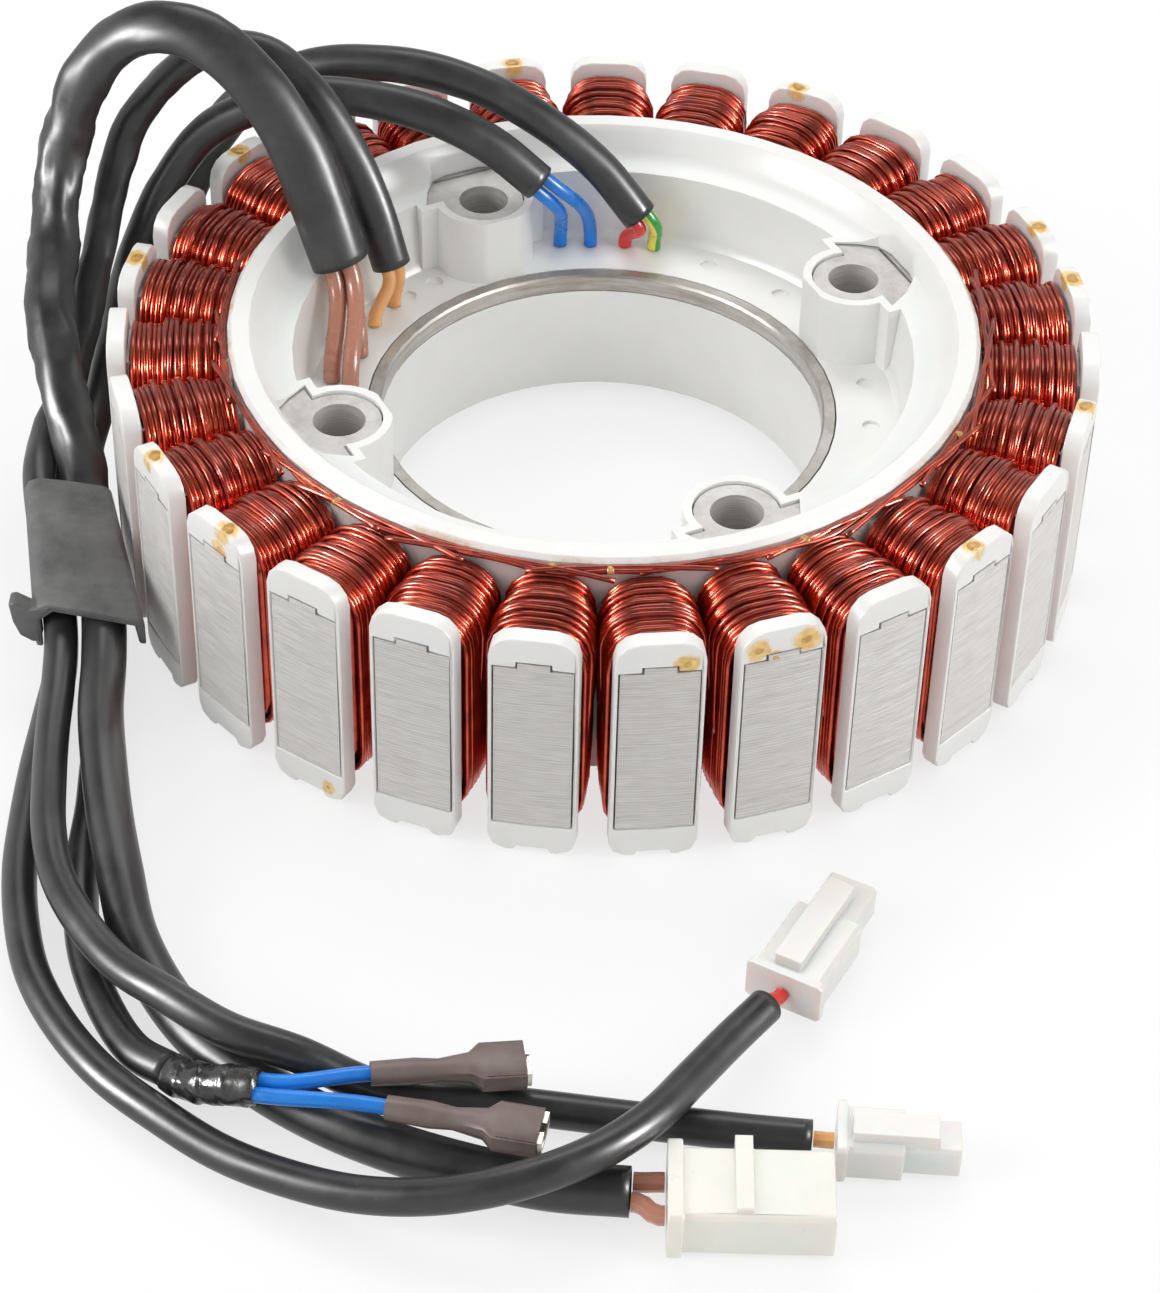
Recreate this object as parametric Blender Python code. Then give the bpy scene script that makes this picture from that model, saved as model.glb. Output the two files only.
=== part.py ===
"""Wound stator of an outer-rotor generator, with its four sleeved cables.

The bore axis is world Z and the stator stands on z = 0. Azimuth is the angle from -Y towards +X.
Every size below is in millimetres. Meshes are written in metres.
"""

import math

import bmesh
import bpy
from mathutils import Vector

MM = 0.001

# Clearance that touching pieces keep
GAP = 0.3

# Laminated core
TEETH = 27
FIRST_TOOTH_AZIMUTH = 6.7
CORE_RADIUS = 90.0
STACK_HEIGHT = 35.1
TIP_WIDTH = 13.4
TIP_DEPTH = 2.2
NECK_WIDTH = 7.0
YOKE_OUTER = 66.0
YOKE_INNER = 58.0
TAB_WIDTH = 5.4
TAB_HEIGHT = 1.2

# Bolt ears of the core
EARS = 4
BOLT_CIRCLE = 52.4
FIRST_EAR_AZIMUTH = 26.86
BOLT_HOLE = 4.75
EAR_RADIUS = 7.6
HORN_REACH = 11.0
HORN_SEAT = 2.2
SLIT_OFFSET = 9.0
SLIT_LENGTH = 13.0
SLIT_WIDTH = 0.7
SLIT_DEPTH = 1.2

# Moulded insulator
OVERALL_HEIGHT = 48.0
HUB_RADIUS = 68.4
RIM_INNER = 64.5
RIM_CHAMFER = 0.8
COVER = 0.35
BORE_RADIUS = 41.0
BORE_FOOT = 2.7
BORE_WALL = 3.6
FLOOR_LEVEL = 28.4
WEB_THICKNESS = 8.0
HUB_STEPS = 54
BOSS_WALL = 1.6
POST_DEPTH = 6.5
FLANGE_WIDTH = 15.3
FLANGE_THICKNESS = 3.3
FLANGE_SETBACK = 0.1
FLANGE_TOP_CORNER = 4.2
FLANGE_FOOT_CORNER = 3.0
FOOT_NOTCH_WIDTH = 5.2
FOOT_NOTCH_DEPTH = 0.9
SLEEVE_WALL = 1.1
MARK_RADIUS = 1.7
MARK_DEPTH = 0.6
MARK_CIRCLE = 50.0
MARK_AZIMUTHS = (156.0, 137.0, 100.0, 85.0, -139.0, -131.0)

# Steel ring at the top of the bore
RING_WIDTH = 2.3
RING_HEIGHT = 3.3

# Coils and the wires that cross from one to the next
COIL_WIDTH = 15.3
COIL_CORNER = 6.4
COIL_BELOW_FLANGE = 2.0
CROSSOVER_DIAMETER = 1.1
CROSSOVER_SPACING = 1.5
CROSSOVER_SPANS = ((-112.0, 78.0), (-74.0, 104.0))
CROSSOVER_STEPS = 24

# Rubber clip around the four cables
CLIP_FAR = (-99.0, -14.0, 19.5)
CLIP_NEAR = (-92.0, -43.0, 9.5)
CLIP_LEFT = -9.4
CLIP_RIGHT = 9.3
CLIP_TOP = 10.0
CLIP_FOOT = -7.8
CLIP_WALL = 1.3
CLIP_ROOF = 1.8
LOBE_LEFT = -13.5
LOBE_RIGHT = 9.9
LOBE_TOP = 1.0
LOBE_FOOT = -9.6
LOBE_THICKNESS = 3.2

# Cables, each with its diameter and the points of its route
MAIN_DIAMETER = 8.0
BRANCH_DIAMETER = 6.0
MAIN_ROUTE = (
    (-49.5, 20, 45), (-53.5, 22.5, 57), (-58, 26, 68), (-65, 30, 77.5), (-75, 34.5, 84), (-86.5, 38, 83),
    (-95.5, 39.5, 74.5), (-101, 38, 63), (-103, 33, 52), (-103.5, 23.5, 44), (-103, 11.5, 40),
    (-100.5, 0.5, 34), (-97, -9.5, 26), (-94, -19.5, 20.5), (-91, -31.5, 16.5), (-88.5, -43, 13),
    (-87, -55.5, 11.5), (-86, -68.5, 11.5), (-84, -81, 11.5), (-81.5, -93.5, 10.5), (-78.5, -105.5, 9),
    (-75, -117.5, 6.5), (-69, -128.5, 4.5), (-61.5, -138.5, 4.1), (-52, -147, 4.1), (-41.5, -154, 4.1),
    (-30, -159.5, 4.1), (-18, -163.5, 4.1), (-5.5, -166.5, 4.2), (7, -167.5, 4.5),
)
ORANGE_ROUTE = (
    (-40.5, 28, 39), (-44, 30.5, 50.5), (-49, 34.5, 61), (-55.5, 38.5, 70), (-64.5, 43, 75.5),
    (-75.5, 46.5, 73.5), (-85, 47, 65), (-91.5, 44.5, 55.5), (-94.5, 38, 46), (-96, 27.5, 40),
    (-97.5, 17.5, 33.5), (-99.5, 8.5, 26), (-102.5, -2.5, 22), (-103, -14.5, 21.5), (-101, -26, 18.5),
    (-98, -37, 14.5), (-95.5, -48.5, 11.5), (-94.5, -60.5, 10), (-94, -72.5, 9.5), (-93, -84.5, 9.5),
    (-91.5, -96.5, 10), (-88.5, -108, 10), (-83, -119, 10.5), (-76, -128.5, 11), (-67, -136.5, 12.5),
    (-57, -143, 12), (-45.5, -146, 10), (-34, -147.5, 4.5), (-22, -148.5, 3.1), (-10.5, -149.5, 3.1),
    (1.5, -151, 3.1), (13.5, -152.5, 3.1), (25.5, -154, 3.3), (35.4, -155.2, 3.7),
)
BLUE_ROUTE = (
    (-13, 42, 49), (-22, 43, 56.5), (-32.5, 44.5, 61.5), (-44, 46.5, 63.5), (-56, 48, 63.5),
    (-67.5, 48.5, 60), (-77.5, 47.5, 54), (-84.5, 44, 45), (-89.5, 37, 36.5), (-92, 27.5, 30),
    (-93.5, 17.5, 24), (-95, 7, 19), (-96, -4.5, 16.5), (-95, -16, 14), (-92.5, -27, 10), (-90, -38, 6),
    (-88, -49.5, 4), (-86.5, -61.5, 3.5), (-86.5, -73.5, 3.5), (-86, -85, 3.5), (-86, -97, 3.5),
    (-85, -109, 3.1), (-82.5, -120.5, 3.1), (-78, -131.5, 3.2), (-72.5, -140.5, 3.8), (-65.8, -146.3, 5.5),
)
RED_ROUTE = (
    (6.5, 47, 38.5), (-1.5, 49.5, 48), (-11, 51.5, 55.5), (-22, 53.5, 61.5), (-34, 56, 64.5),
    (-46, 59, 64), (-58, 61.5, 61), (-69, 62.5, 54.5), (-77, 59.5, 45.5), (-82.5, 52.5, 36.5),
    (-87.5, 43.5, 29), (-92, 33.5, 23.5), (-96.5, 22.5, 19), (-100, 11, 16), (-102.5, -1, 14.5),
    (-103, -14, 14), (-100.5, -26, 11.5), (-97.5, -37, 7), (-96, -49.5, 4), (-96.5, -62, 3.1),
    (-97, -74.5, 3.1), (-97, -87, 3.1), (-96.5, -99.5, 3.1), (-94.5, -112, 3.3), (-91, -124, 3.3),
    (-85, -135, 3.1), (-77, -145, 3.1), (-67.5, -153, 3.1), (-57, -160.5, 3.1), (-46, -166.5, 4.5),
    (-34.5, -171, 6.5), (-22.5, -173, 9), (-10.5, -172, 11.5), (1, -167, 12.5), (10, -158.5, 11.5),
    (16.5, -148, 9), (23, -137.5, 7), (28.6, -129.4, 6),
)

# Leads from the hub floor up into the cable mouths, with where each one leaves the floor
BROWN_DIAMETER = 3.2
LEAD_DIAMETER = 2.6
LEAD_SPREAD = 1.5
STRAIGHT_RUN = 0.8
BROWN_ROOTS = ((-45.7, 13.4), (-50.4, 5.2), (-46.8, 2.6))
ORANGE_ROOTS = ((-43.5, 23.0), (-40.1, 29.6))
BLUE_ROOTS = ((-8.8, 51.1), (-2.9, 51.3))
RED_ROOTS = ((3.9, 51.4), (9.6, 50.6))

# Taped end of the blue cable, its two tails and their push-on receptacles
TAPE_DIAMETER = 7.2
TAPE_END = (-51.3, -153.8, 10.8)
TAPE_HEADING = (1.0, -0.25, 0.15)
RECEPTACLES = (
    ((-34.0, -149.8, 10.2), (-9.9, -146.2, 9.2)),
    ((-31.0, -157.6, 11.3), (-7.0, -162.0, 11.3)),
)
SHRINK_WIDTH = 8.4
SHRINK_HEIGHT = 4.6
SHRINK_POCKET = 7.0
BLADE_WALL = 0.5
BLADE_PROUD = 0.8

# Plug housings at the far ends: centre of the cable side, and heading
LARGE_AT = (12.6, -168.9, 0.2)
LARGE_HEADING = 0.0
SIDE_AT = (39.2, -155.6, 0.2)
SIDE_HEADING = -3.0
TOP_AT = (31.6, -125.2, 1.2)
TOP_HEADING = 62.0

TIP_FACE = CORE_RADIUS - TIP_DEPTH
MIDDLE = OVERALL_HEIGHT / 2
STACK_LOW = MIDDLE - STACK_HEIGHT / 2
STACK_HIGH = MIDDLE + STACK_HEIGHT / 2
FLANGE_FRONT = CORE_RADIUS - FLANGE_SETBACK
FLANGE_BACK = FLANGE_FRONT - FLANGE_THICKNESS
PITCH = 360.0 / TEETH


def clear_scene():
    for obj in list(bpy.data.objects):
        bpy.data.objects.remove(obj, do_unlink=True)


def material(name, colour, roughness, metallic=0.0):
    made = bpy.data.materials.new(name)
    made.use_nodes = True
    shader = made.node_tree.nodes["Principled BSDF"]
    shader.inputs["Base Color"].default_value = (*colour, 1.0)
    shader.inputs["Roughness"].default_value = roughness
    shader.inputs["Metallic"].default_value = metallic
    made.diffuse_color = (*colour, 1.0)
    return made


def add_object(name, mesh):
    obj = bpy.data.objects.new(name, mesh)
    bpy.context.collection.objects.link(obj)
    return obj


def object_from(name, bm):
    bmesh.ops.recalc_face_normals(bm, faces=bm.faces)
    mesh = bpy.data.meshes.new(name)
    bm.to_mesh(mesh)
    bm.free()
    return add_object(name, mesh)


def radial(azimuth):
    angle = math.radians(azimuth)
    return Vector((math.sin(angle), -math.cos(angle), 0))


def tangential(azimuth):
    angle = math.radians(azimuth)
    return Vector((math.cos(angle), math.sin(angle), 0))


def upright(a, b, c):
    """Plan outlines: a and b are x and y, c is the height."""
    return Vector((a, b, c))


def tooth_place(azimuth):
    """Outlines seen from outside: a runs along the rim, b is the height, c the distance from the axis."""
    out, along = radial(azimuth), tangential(azimuth)
    return lambda a, b, c: along * a + Vector((0, 0, b)) + out * c


def axis_place(origin, heading, up=Vector((0, 0, 1))):
    """Outlines across a line: a is to its right, b is up and c runs along it."""
    ahead = heading.normalized()
    right = ahead.cross(up).normalized()
    over = right.cross(ahead)
    return lambda a, b, c: origin + right * a + over * b + ahead * c


def add_loft(bm, sections, place):
    """Close a skin over outlines of equal point counts, each given with its place along the line."""
    rings = [[bm.verts.new(place(a, b, c) * MM) for a, b in outline] for outline, c in sections]
    for ring, following in zip(rings, rings[1:]):
        for i, corner in enumerate(ring):
            j = (i + 1) % len(ring)
            bm.faces.new((corner, ring[j], following[j], following[i]))
    bm.faces.new(rings[0])
    bm.faces.new(list(reversed(rings[-1])))


def loft(name, sections, place):
    bm = bmesh.new()
    add_loft(bm, sections, place)
    return object_from(name, bm)


def prisms(name, outline, low, high, places):
    """One mesh with a copy of the same straight prism at each place."""
    bm = bmesh.new()
    for place in places:
        add_loft(bm, ((outline, low), (outline, high)), place)
    return object_from(name, bm)


def prism(name, outline, low, high, place=upright):
    return prisms(name, outline, low, high, (place,))


def revolve(name, profile, steps):
    """Turn a closed profile of (radius, height) about Z."""
    bm = bmesh.new()
    rings = []
    for step in range(steps):
        out = radial(360 * step / steps)
        rings.append([bm.verts.new((out * r + Vector((0, 0, z))) * MM) for r, z in profile])
    for ring, following in zip(rings, rings[1:] + rings[:1]):
        for i, corner in enumerate(ring):
            j = (i + 1) % len(ring)
            bm.faces.new((corner, ring[j], following[j], following[i]))
    return object_from(name, bm)


def combine(target, tool, operation):
    """Union or difference of two closed solids. The tool is used up."""
    cut = target.modifiers.new(operation, "BOOLEAN")
    cut.operation = operation
    cut.solver = "EXACT"
    cut.object = tool
    bpy.context.view_layer.update()
    result = bpy.data.meshes.new_from_object(target.evaluated_get(bpy.context.evaluated_depsgraph_get()))
    target.modifiers.clear()
    spent = target.data
    target.data = result
    bpy.data.meshes.remove(spent)
    bpy.data.objects.remove(tool, do_unlink=True)
    return target


def arc(centre, radius, start, end, steps):
    """Points of an arc in plan, by ordinary angle in degrees."""
    turns = [math.radians(start + (end - start) * i / steps) for i in range(steps + 1)]
    return [(centre[0] + radius * math.cos(t), centre[1] + radius * math.sin(t)) for t in turns]


def rounded_box(half_width, low, high, radius, steps):
    """Upright rectangle with rounded corners, from its top right corner round to the left."""
    right, left, top, foot = half_width - radius, radius - half_width, high - radius, low + radius
    points = arc((right, top), radius, 0, 90, steps) + arc((left, top), radius, 90, 180, steps)
    return points + arc((left, foot), radius, 180, 270, steps) + arc((right, foot), radius, 270, 360, steps)


def chamfered_box(half_width, low, high, chamfer):
    return [
        (half_width, low + chamfer), (half_width, high - chamfer), (half_width - chamfer, high),
        (chamfer - half_width, high), (-half_width, high - chamfer), (-half_width, low + chamfer),
        (chamfer - half_width, low), (half_width - chamfer, low),
    ]


def box(half_width, low, high):
    return [(-half_width, low), (half_width, low), (half_width, high), (-half_width, high)]


def tooth_azimuths():
    return [FIRST_TOOTH_AZIMUTH + PITCH * i for i in range(TEETH)]


def ear_azimuths():
    return [FIRST_EAR_AZIMUTH + 360.0 / EARS * i for i in range(EARS)]


def in_plan(azimuth, along, outwards):
    spot = tangential(azimuth) * along + radial(azimuth) * outwards
    return (spot.x, spot.y)


def core_outer(margin):
    """Plan outline of the yoke, necks and tooth tips, grown by the margin."""
    yoke, half_neck, half_tip = YOKE_OUTER + margin, NECK_WIDTH / 2 + margin, TIP_WIDTH / 2 + margin
    root = math.sqrt(yoke**2 - half_neck**2)
    face = CORE_RADIUS + margin
    shoulder = math.sqrt(face**2 - half_tip**2)
    half = [(0, face), (half_tip, shoulder), (half_tip, TIP_FACE - margin), (half_neck, TIP_FACE - margin)]
    half.append((half_neck, root))
    tooth = [(-along, out) for along, out in reversed(half[1:])] + half
    points = []
    for azimuth in tooth_azimuths():
        points += [in_plan(azimuth, along, out) for along, out in tooth]
        points.append(in_plan(azimuth + PITCH / 2, 0, yoke))
    return points


def ear_outline(margin):
    """Half-round ear with its two square horns, as (tangential, outward) from the bolt's centre."""
    radius, seat, reach = EAR_RADIUS + margin, HORN_SEAT - margin, HORN_REACH + margin
    meet = math.degrees(math.asin(seat / radius))
    points = [(-reach, seat)]
    points += arc((0, 0), radius, 180 - meet, 360 + meet, 14)
    points.append((reach, seat))
    return points


def core_inner(margin):
    """Plan outline of the yoke's inner side with its ears, shrunk by the margin."""
    yoke, reach = YOKE_INNER - margin, HORN_REACH + margin
    turn = math.degrees(math.asin(reach / yoke))
    points = []
    for azimuth in ear_azimuths():
        points.append(in_plan(azimuth - turn, 0, yoke))
        points += [in_plan(azimuth, along, BOLT_CIRCLE + out) for along, out in ear_outline(margin)]
        points.append(in_plan(azimuth + turn, 0, yoke))
        span = 360.0 / EARS - 2 * turn
        points += [in_plan(azimuth + turn + span * i / 8, 0, yoke) for i in range(1, 8)]
    return points


def tab_outline(margin):
    return box(TAB_WIDTH / 2 + margin, STACK_HIGH - TAB_HEIGHT, STACK_HIGH + TAB_HEIGHT + margin)


def core_body(name, margin):
    """The stack of laminations without its bolt holes, grown all over by the margin."""
    low, high = STACK_LOW - margin, STACK_HIGH + margin
    body = prism(name, core_outer(margin), low, high)
    body = combine(body, prism("hollow", core_inner(margin), low - 1, high + 1), "DIFFERENCE")
    places = [tooth_place(azimuth) for azimuth in tooth_azimuths()]
    tabs = prisms("tabs", tab_outline(margin), TIP_FACE - margin, FLANGE_FRONT + margin, places)
    return combine(body, tabs, "UNION")


def boss_place(azimuth):
    """Plan outlines about a bolt's centre: a is tangential, b outward, c the height."""
    out, along = radial(azimuth), tangential(azimuth)
    return lambda a, b, c: along * a + out * (BOLT_CIRCLE + b) + Vector((0, 0, c))


def laminated_core():
    core = core_body("laminated_core", 0.0)
    places = [boss_place(azimuth) for azimuth in ear_azimuths()]
    hole = arc((0, 0), BOLT_HOLE, 0, 345, 23)
    core = combine(core, prisms("holes", hole, STACK_LOW - 1, STACK_HIGH + 1, places), "DIFFERENCE")
    slit = box(SLIT_LENGTH / 2, SLIT_OFFSET, SLIT_OFFSET + SLIT_WIDTH)
    top_slits = prisms("slits", slit, STACK_HIGH - SLIT_DEPTH, STACK_HIGH + 1, places)
    return combine(core, top_slits, "DIFFERENCE")


def window_outline():
    """Fishtail opening that leaves an ear of the core bare."""
    outline = ear_outline(GAP)
    outline += [(9.2, 6.0), (6.8, 9.2), (3.5, 10.3), (-3.5, 10.3), (-6.8, 9.2), (-9.2, 6.0)]
    return outline


def ring_seat():
    return BORE_RADIUS + RING_WIDTH + GAP


def hub_profile():
    """Section of the moulded hub: bore wall, web, coves over the yoke and the outer rim."""
    cove = ((RIM_INNER, 0), (RIM_INNER - 1.1, 1.2), (RIM_INNER - 2.5, 4.0), (RIM_INNER - 4.7, 5.5))
    ledge = YOKE_INNER - 1.2
    cover = STACK_LOW - GAP - COVER
    web = FLOOR_LEVEL - WEB_THICKNESS
    profile = [(BORE_RADIUS, BORE_FOOT), (BORE_RADIUS + BORE_WALL, BORE_FOOT)]
    profile += [(BORE_RADIUS + BORE_WALL, web), (ledge - 1.4, web), (ledge, cover)]
    profile += reversed(cove)
    profile += [(HUB_RADIUS - RIM_CHAMFER, 0), (HUB_RADIUS, RIM_CHAMFER)]
    profile += [(HUB_RADIUS, OVERALL_HEIGHT - RIM_CHAMFER), (HUB_RADIUS - RIM_CHAMFER, OVERALL_HEIGHT)]
    profile += [(r, OVERALL_HEIGHT - z) for r, z in cove]
    profile += [(ledge, OVERALL_HEIGHT - cover), (ledge - 1.2, FLOOR_LEVEL + 1.6), (ledge - 2.4, FLOOR_LEVEL)]
    profile.append((BORE_RADIUS, FLOOR_LEVEL))
    return profile


def flange_outline():
    """Front view of the flange around a tooth tip, with the notch in its foot."""
    half, notch = FLANGE_WIDTH / 2, FOOT_NOTCH_WIDTH / 2
    outline = arc((half - FLANGE_TOP_CORNER, OVERALL_HEIGHT - FLANGE_TOP_CORNER), FLANGE_TOP_CORNER, 0, 90, 3)
    outline += [(-a, b) for a, b in reversed(outline)]
    outline += arc((FLANGE_FOOT_CORNER - half, FLANGE_FOOT_CORNER), FLANGE_FOOT_CORNER, 180, 270, 2)
    outline += [(-notch - 0.6, 0), (-notch, FOOT_NOTCH_DEPTH), (notch, FOOT_NOTCH_DEPTH), (notch + 0.6, 0)]
    return outline + arc((half - FLANGE_FOOT_CORNER, FLANGE_FOOT_CORNER), FLANGE_FOOT_CORNER, 270, 360, 2)


def neck_sleeve_outline(margin=0.0):
    grow = GAP + SLEEVE_WALL + margin
    return box(NECK_WIDTH / 2 + grow, STACK_LOW - grow, STACK_HIGH + grow)


def insulator():
    """One moulding over the whole core: hub, neck sleeves, flanges and the four bosses."""
    teeth = [tooth_place(azimuth) for azimuth in tooth_azimuths()]
    bosses = [boss_place(azimuth) for azimuth in ear_azimuths()]
    body = revolve("insulator", hub_profile(), HUB_STEPS)
    wall = GAP + BOSS_WALL
    reach = HORN_REACH + wall
    post = ear_outline(wall) + [(reach, POST_DEPTH), (-reach, POST_DEPTH)]
    posts = prisms("posts", post, STACK_LOW - GAP - COVER, STACK_HIGH + GAP + COVER, bosses)
    body = combine(body, posts, "UNION")
    seat = FLOOR_LEVEL - RING_HEIGHT - GAP
    ring_space = ((BORE_RADIUS - 2, seat), (ring_seat(), seat), (ring_seat(), OVERALL_HEIGHT))
    ring_space += ((BORE_RADIUS - 2, OVERALL_HEIGHT),)
    body = combine(body, revolve("ring_space", ring_space, HUB_STEPS), "DIFFERENCE")
    sleeves = prisms("sleeves", neck_sleeve_outline(), YOKE_INNER + 5, FLANGE_BACK + 0.5, teeth)
    body = combine(body, sleeves, "UNION")
    body = combine(body, prisms("flanges", flange_outline(), FLANGE_BACK, FLANGE_FRONT, teeth), "UNION")
    body = combine(body, core_body("core_space", GAP), "DIFFERENCE")
    window = window_outline()
    body = combine(body, prisms("windows", window, STACK_HIGH, OVERALL_HEIGHT + 1, bosses), "DIFFERENCE")
    body = combine(body, prisms("foot_windows", window, -1, STACK_LOW, bosses), "DIFFERENCE")
    mark = arc((0, 0), MARK_RADIUS, 0, 330, 11)
    spots = [axis_place(radial(a) * MARK_CIRCLE, Vector((0, 0, 1)), Vector((0, 1, 0))) for a in MARK_AZIMUTHS]
    marks = prisms("marks", mark, FLOOR_LEVEL - MARK_DEPTH, FLOOR_LEVEL + 1, spots)
    return combine(body, marks, "DIFFERENCE")


def bore_ring():
    low, outer = FLOOR_LEVEL - RING_HEIGHT, BORE_RADIUS + RING_WIDTH
    profile = [(BORE_RADIUS, low), (outer, low), (outer, FLOOR_LEVEL), (BORE_RADIUS + 0.4, FLOOR_LEVEL)]
    profile.append((BORE_RADIUS, FLOOR_LEVEL - 0.4))
    return revolve("bore_ring", profile, HUB_STEPS)


def coil(number, azimuth):
    """A wound bundle around one neck, between the hub wall and the flange."""
    low, high = COIL_BELOW_FLANGE, OVERALL_HEIGHT - COIL_BELOW_FLANGE
    start, end = HUB_RADIUS + GAP, FLANGE_BACK - GAP

    place = tooth_place(azimuth)
    turns = rounded_box(COIL_WIDTH / 2, low, high, COIL_CORNER, 3)
    body = prism(f"coil_{number:02d}", turns, start, end, place)
    tunnel = prism("tunnel", neck_sleeve_outline(GAP), start - 1, end + 1, place)
    return combine(body, tunnel, "DIFFERENCE")


def tube(name, points, diameter, sides=2):
    """A round wire or sleeve through the points, as a filled curve."""
    curve = bpy.data.curves.new(name, "CURVE")
    curve.dimensions = "3D"
    curve.bevel_depth = diameter / 2 * MM
    curve.bevel_resolution = sides
    curve.use_fill_caps = True
    spline = curve.splines.new("POLY")
    spline.points.add(len(points) - 1)
    for spot, point in zip(spline.points, points):
        spot.co = (*(Vector(point) * MM), 1.0)
    return add_object(name, curve)


def smooth_route(points, sharp=20.0):
    """Points read from a smooth curve through the route, closer together where it bends."""
    ends = [Vector(p) for p in points]
    ends = [ends[0] * 2 - ends[1]] + ends + [ends[-1] * 2 - ends[-2]]
    runs = [b - a for a, b in zip(ends, ends[1:])]
    bends = [math.degrees(a.angle(b)) for a, b in zip(runs, runs[1:])]
    made = []
    for i in range(1, len(ends) - 2):
        before, start, end, after = ends[i - 1 : i + 3]
        made.append(start)
        if max(bends[i - 1], bends[i]) > sharp:
            made.append((start + end) * 9 / 16 - (before + after) / 16)
    return made + [ends[-2]]


def crossover_wire(number, span):
    """A thin wire laid over the inner ends of the coils, against the hub wall."""
    radius = HUB_RADIUS + GAP + CROSSOVER_DIAMETER / 2 + CROSSOVER_SPACING * (number - 1)
    level = OVERALL_HEIGHT - COIL_BELOW_FLANGE + GAP + CROSSOVER_DIAMETER / 2
    first, last = span
    turns = [first + (last - first) * i / CROSSOVER_STEPS for i in range(CROSSOVER_STEPS + 1)]
    points = [radial(azimuth) * (radius + 0.1) + Vector((0, 0, level)) for azimuth in turns]
    return tube(f"crossover_wire_{number}", points, CROSSOVER_DIAMETER)


def cable_clip():
    """Rubber channel over the cables, with a wider lobe at its near end."""
    far, near = Vector(CLIP_FAR), Vector(CLIP_NEAR)
    run = near - far
    place = axis_place(far, run)
    left, right = -CLIP_RIGHT, -CLIP_LEFT
    channel = [
        (left, CLIP_FOOT), (left + CLIP_WALL, CLIP_FOOT), (left + CLIP_WALL, CLIP_TOP - CLIP_ROOF),
        (right - CLIP_WALL, CLIP_TOP - CLIP_ROOF), (right - CLIP_WALL, CLIP_FOOT), (right, CLIP_FOOT),
        (right, CLIP_TOP - 1), (right - 1, CLIP_TOP), (left + 1, CLIP_TOP), (left, CLIP_TOP - 1),
    ]
    lobe = [
        (-LOBE_RIGHT, LOBE_FOOT + 1), (1 - LOBE_RIGHT, LOBE_FOOT), (left + CLIP_WALL, LOBE_FOOT),
        (left + CLIP_WALL, CLIP_TOP - CLIP_ROOF), (right - CLIP_WALL, CLIP_TOP - CLIP_ROOF),
        (right - CLIP_WALL, LOBE_FOOT), (-LOBE_LEFT - 2, LOBE_FOOT), (-LOBE_LEFT, LOBE_TOP),
        (right - 0.4, LOBE_TOP), (right - 0.4, CLIP_TOP - 0.4), (left + 0.4, CLIP_TOP - 0.4),
        (left + 0.4, LOBE_TOP), (-LOBE_RIGHT, LOBE_TOP),
    ]
    body = prism("cable_clip", channel, 0, run.length, place)
    start = run.length - LOBE_THICKNESS
    return combine(body, prism("lobe", lobe, start, run.length + 0.02, place), "UNION")


def bridge(start, leaving, end, arriving, steps=5):
    """Points of a smooth run that leaves one face squarely and meets the other squarely."""
    begin, finish = start + leaving * STRAIGHT_RUN, end - arriving * STRAIGHT_RUN
    reach = (finish - begin).length * 0.36
    points = [begin, begin + leaving * reach, finish - arriving * reach, finish]
    made = [start]
    for t in [i / steps for i in range(steps + 1)]:
        weights = ((1 - t) ** 3, 3 * t * (1 - t) ** 2, 3 * t**2 * (1 - t), t**3)
        made.append(sum((p * w for p, w in zip(points, weights)), Vector()))
    return made + [end]


def lead(name, spot, outwards, root, diameter):
    """One insulated lead from the hub floor up to its sleeve."""
    foot = Vector((root[0], root[1], FLOOR_LEVEL + GAP))
    return tube(name, bridge(foot, Vector((0, 0, 1)), spot, -outwards), diameter)


def lead_pair(names, route, roots):
    """Two leads side by side in a sleeve's mouth, in line with the places they rise from."""
    mouth = Vector(route[0])
    outwards = (mouth - Vector(route[1])).normalized()
    apart = Vector((roots[1][0] - roots[0][0], roots[1][1] - roots[0][1], 0))
    across = (apart - outwards * apart.dot(outwards)).normalized()
    made = []
    for name, side, root in zip(names, (-1, 1), roots):
        spot = mouth + outwards * GAP + across * side * LEAD_SPREAD
        made.append(lead(name, spot, outwards, root, LEAD_DIAMETER))
    return made


def brown_leads():
    """Three leads in a triangle, as they fill the round mouth of the main sleeve."""
    mouth = Vector(MAIN_ROUTE[0])
    outwards = (mouth - Vector(MAIN_ROUTE[1])).normalized()
    across = outwards.cross(Vector((0, 0, 1))).normalized()
    over = across.cross(outwards)
    ring = (BROWN_DIAMETER / 2 + GAP / 2) * 2 / math.sqrt(3)
    made = []
    for i, (turn, root) in enumerate(zip((210, 330, 90), BROWN_ROOTS), start=1):
        angle = math.radians(turn)
        shift = (across * math.cos(angle) + over * math.sin(angle)) * ring
        made.append(lead(f"lead_brown_{i}", mouth + outwards * GAP + shift, outwards, root, BROWN_DIAMETER))
    return made


def tape_wrap():
    """Taped stretch that carries on from the end of the blue cable."""
    start = Vector(BLUE_ROUTE[-1])
    ahead = (start - Vector(BLUE_ROUTE[-2])).normalized()
    points = bridge(start + ahead * GAP, ahead, Vector(TAPE_END), Vector(TAPE_HEADING).normalized())
    return tube("tape_wrap", points, TAPE_DIAMETER, 3)


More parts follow.
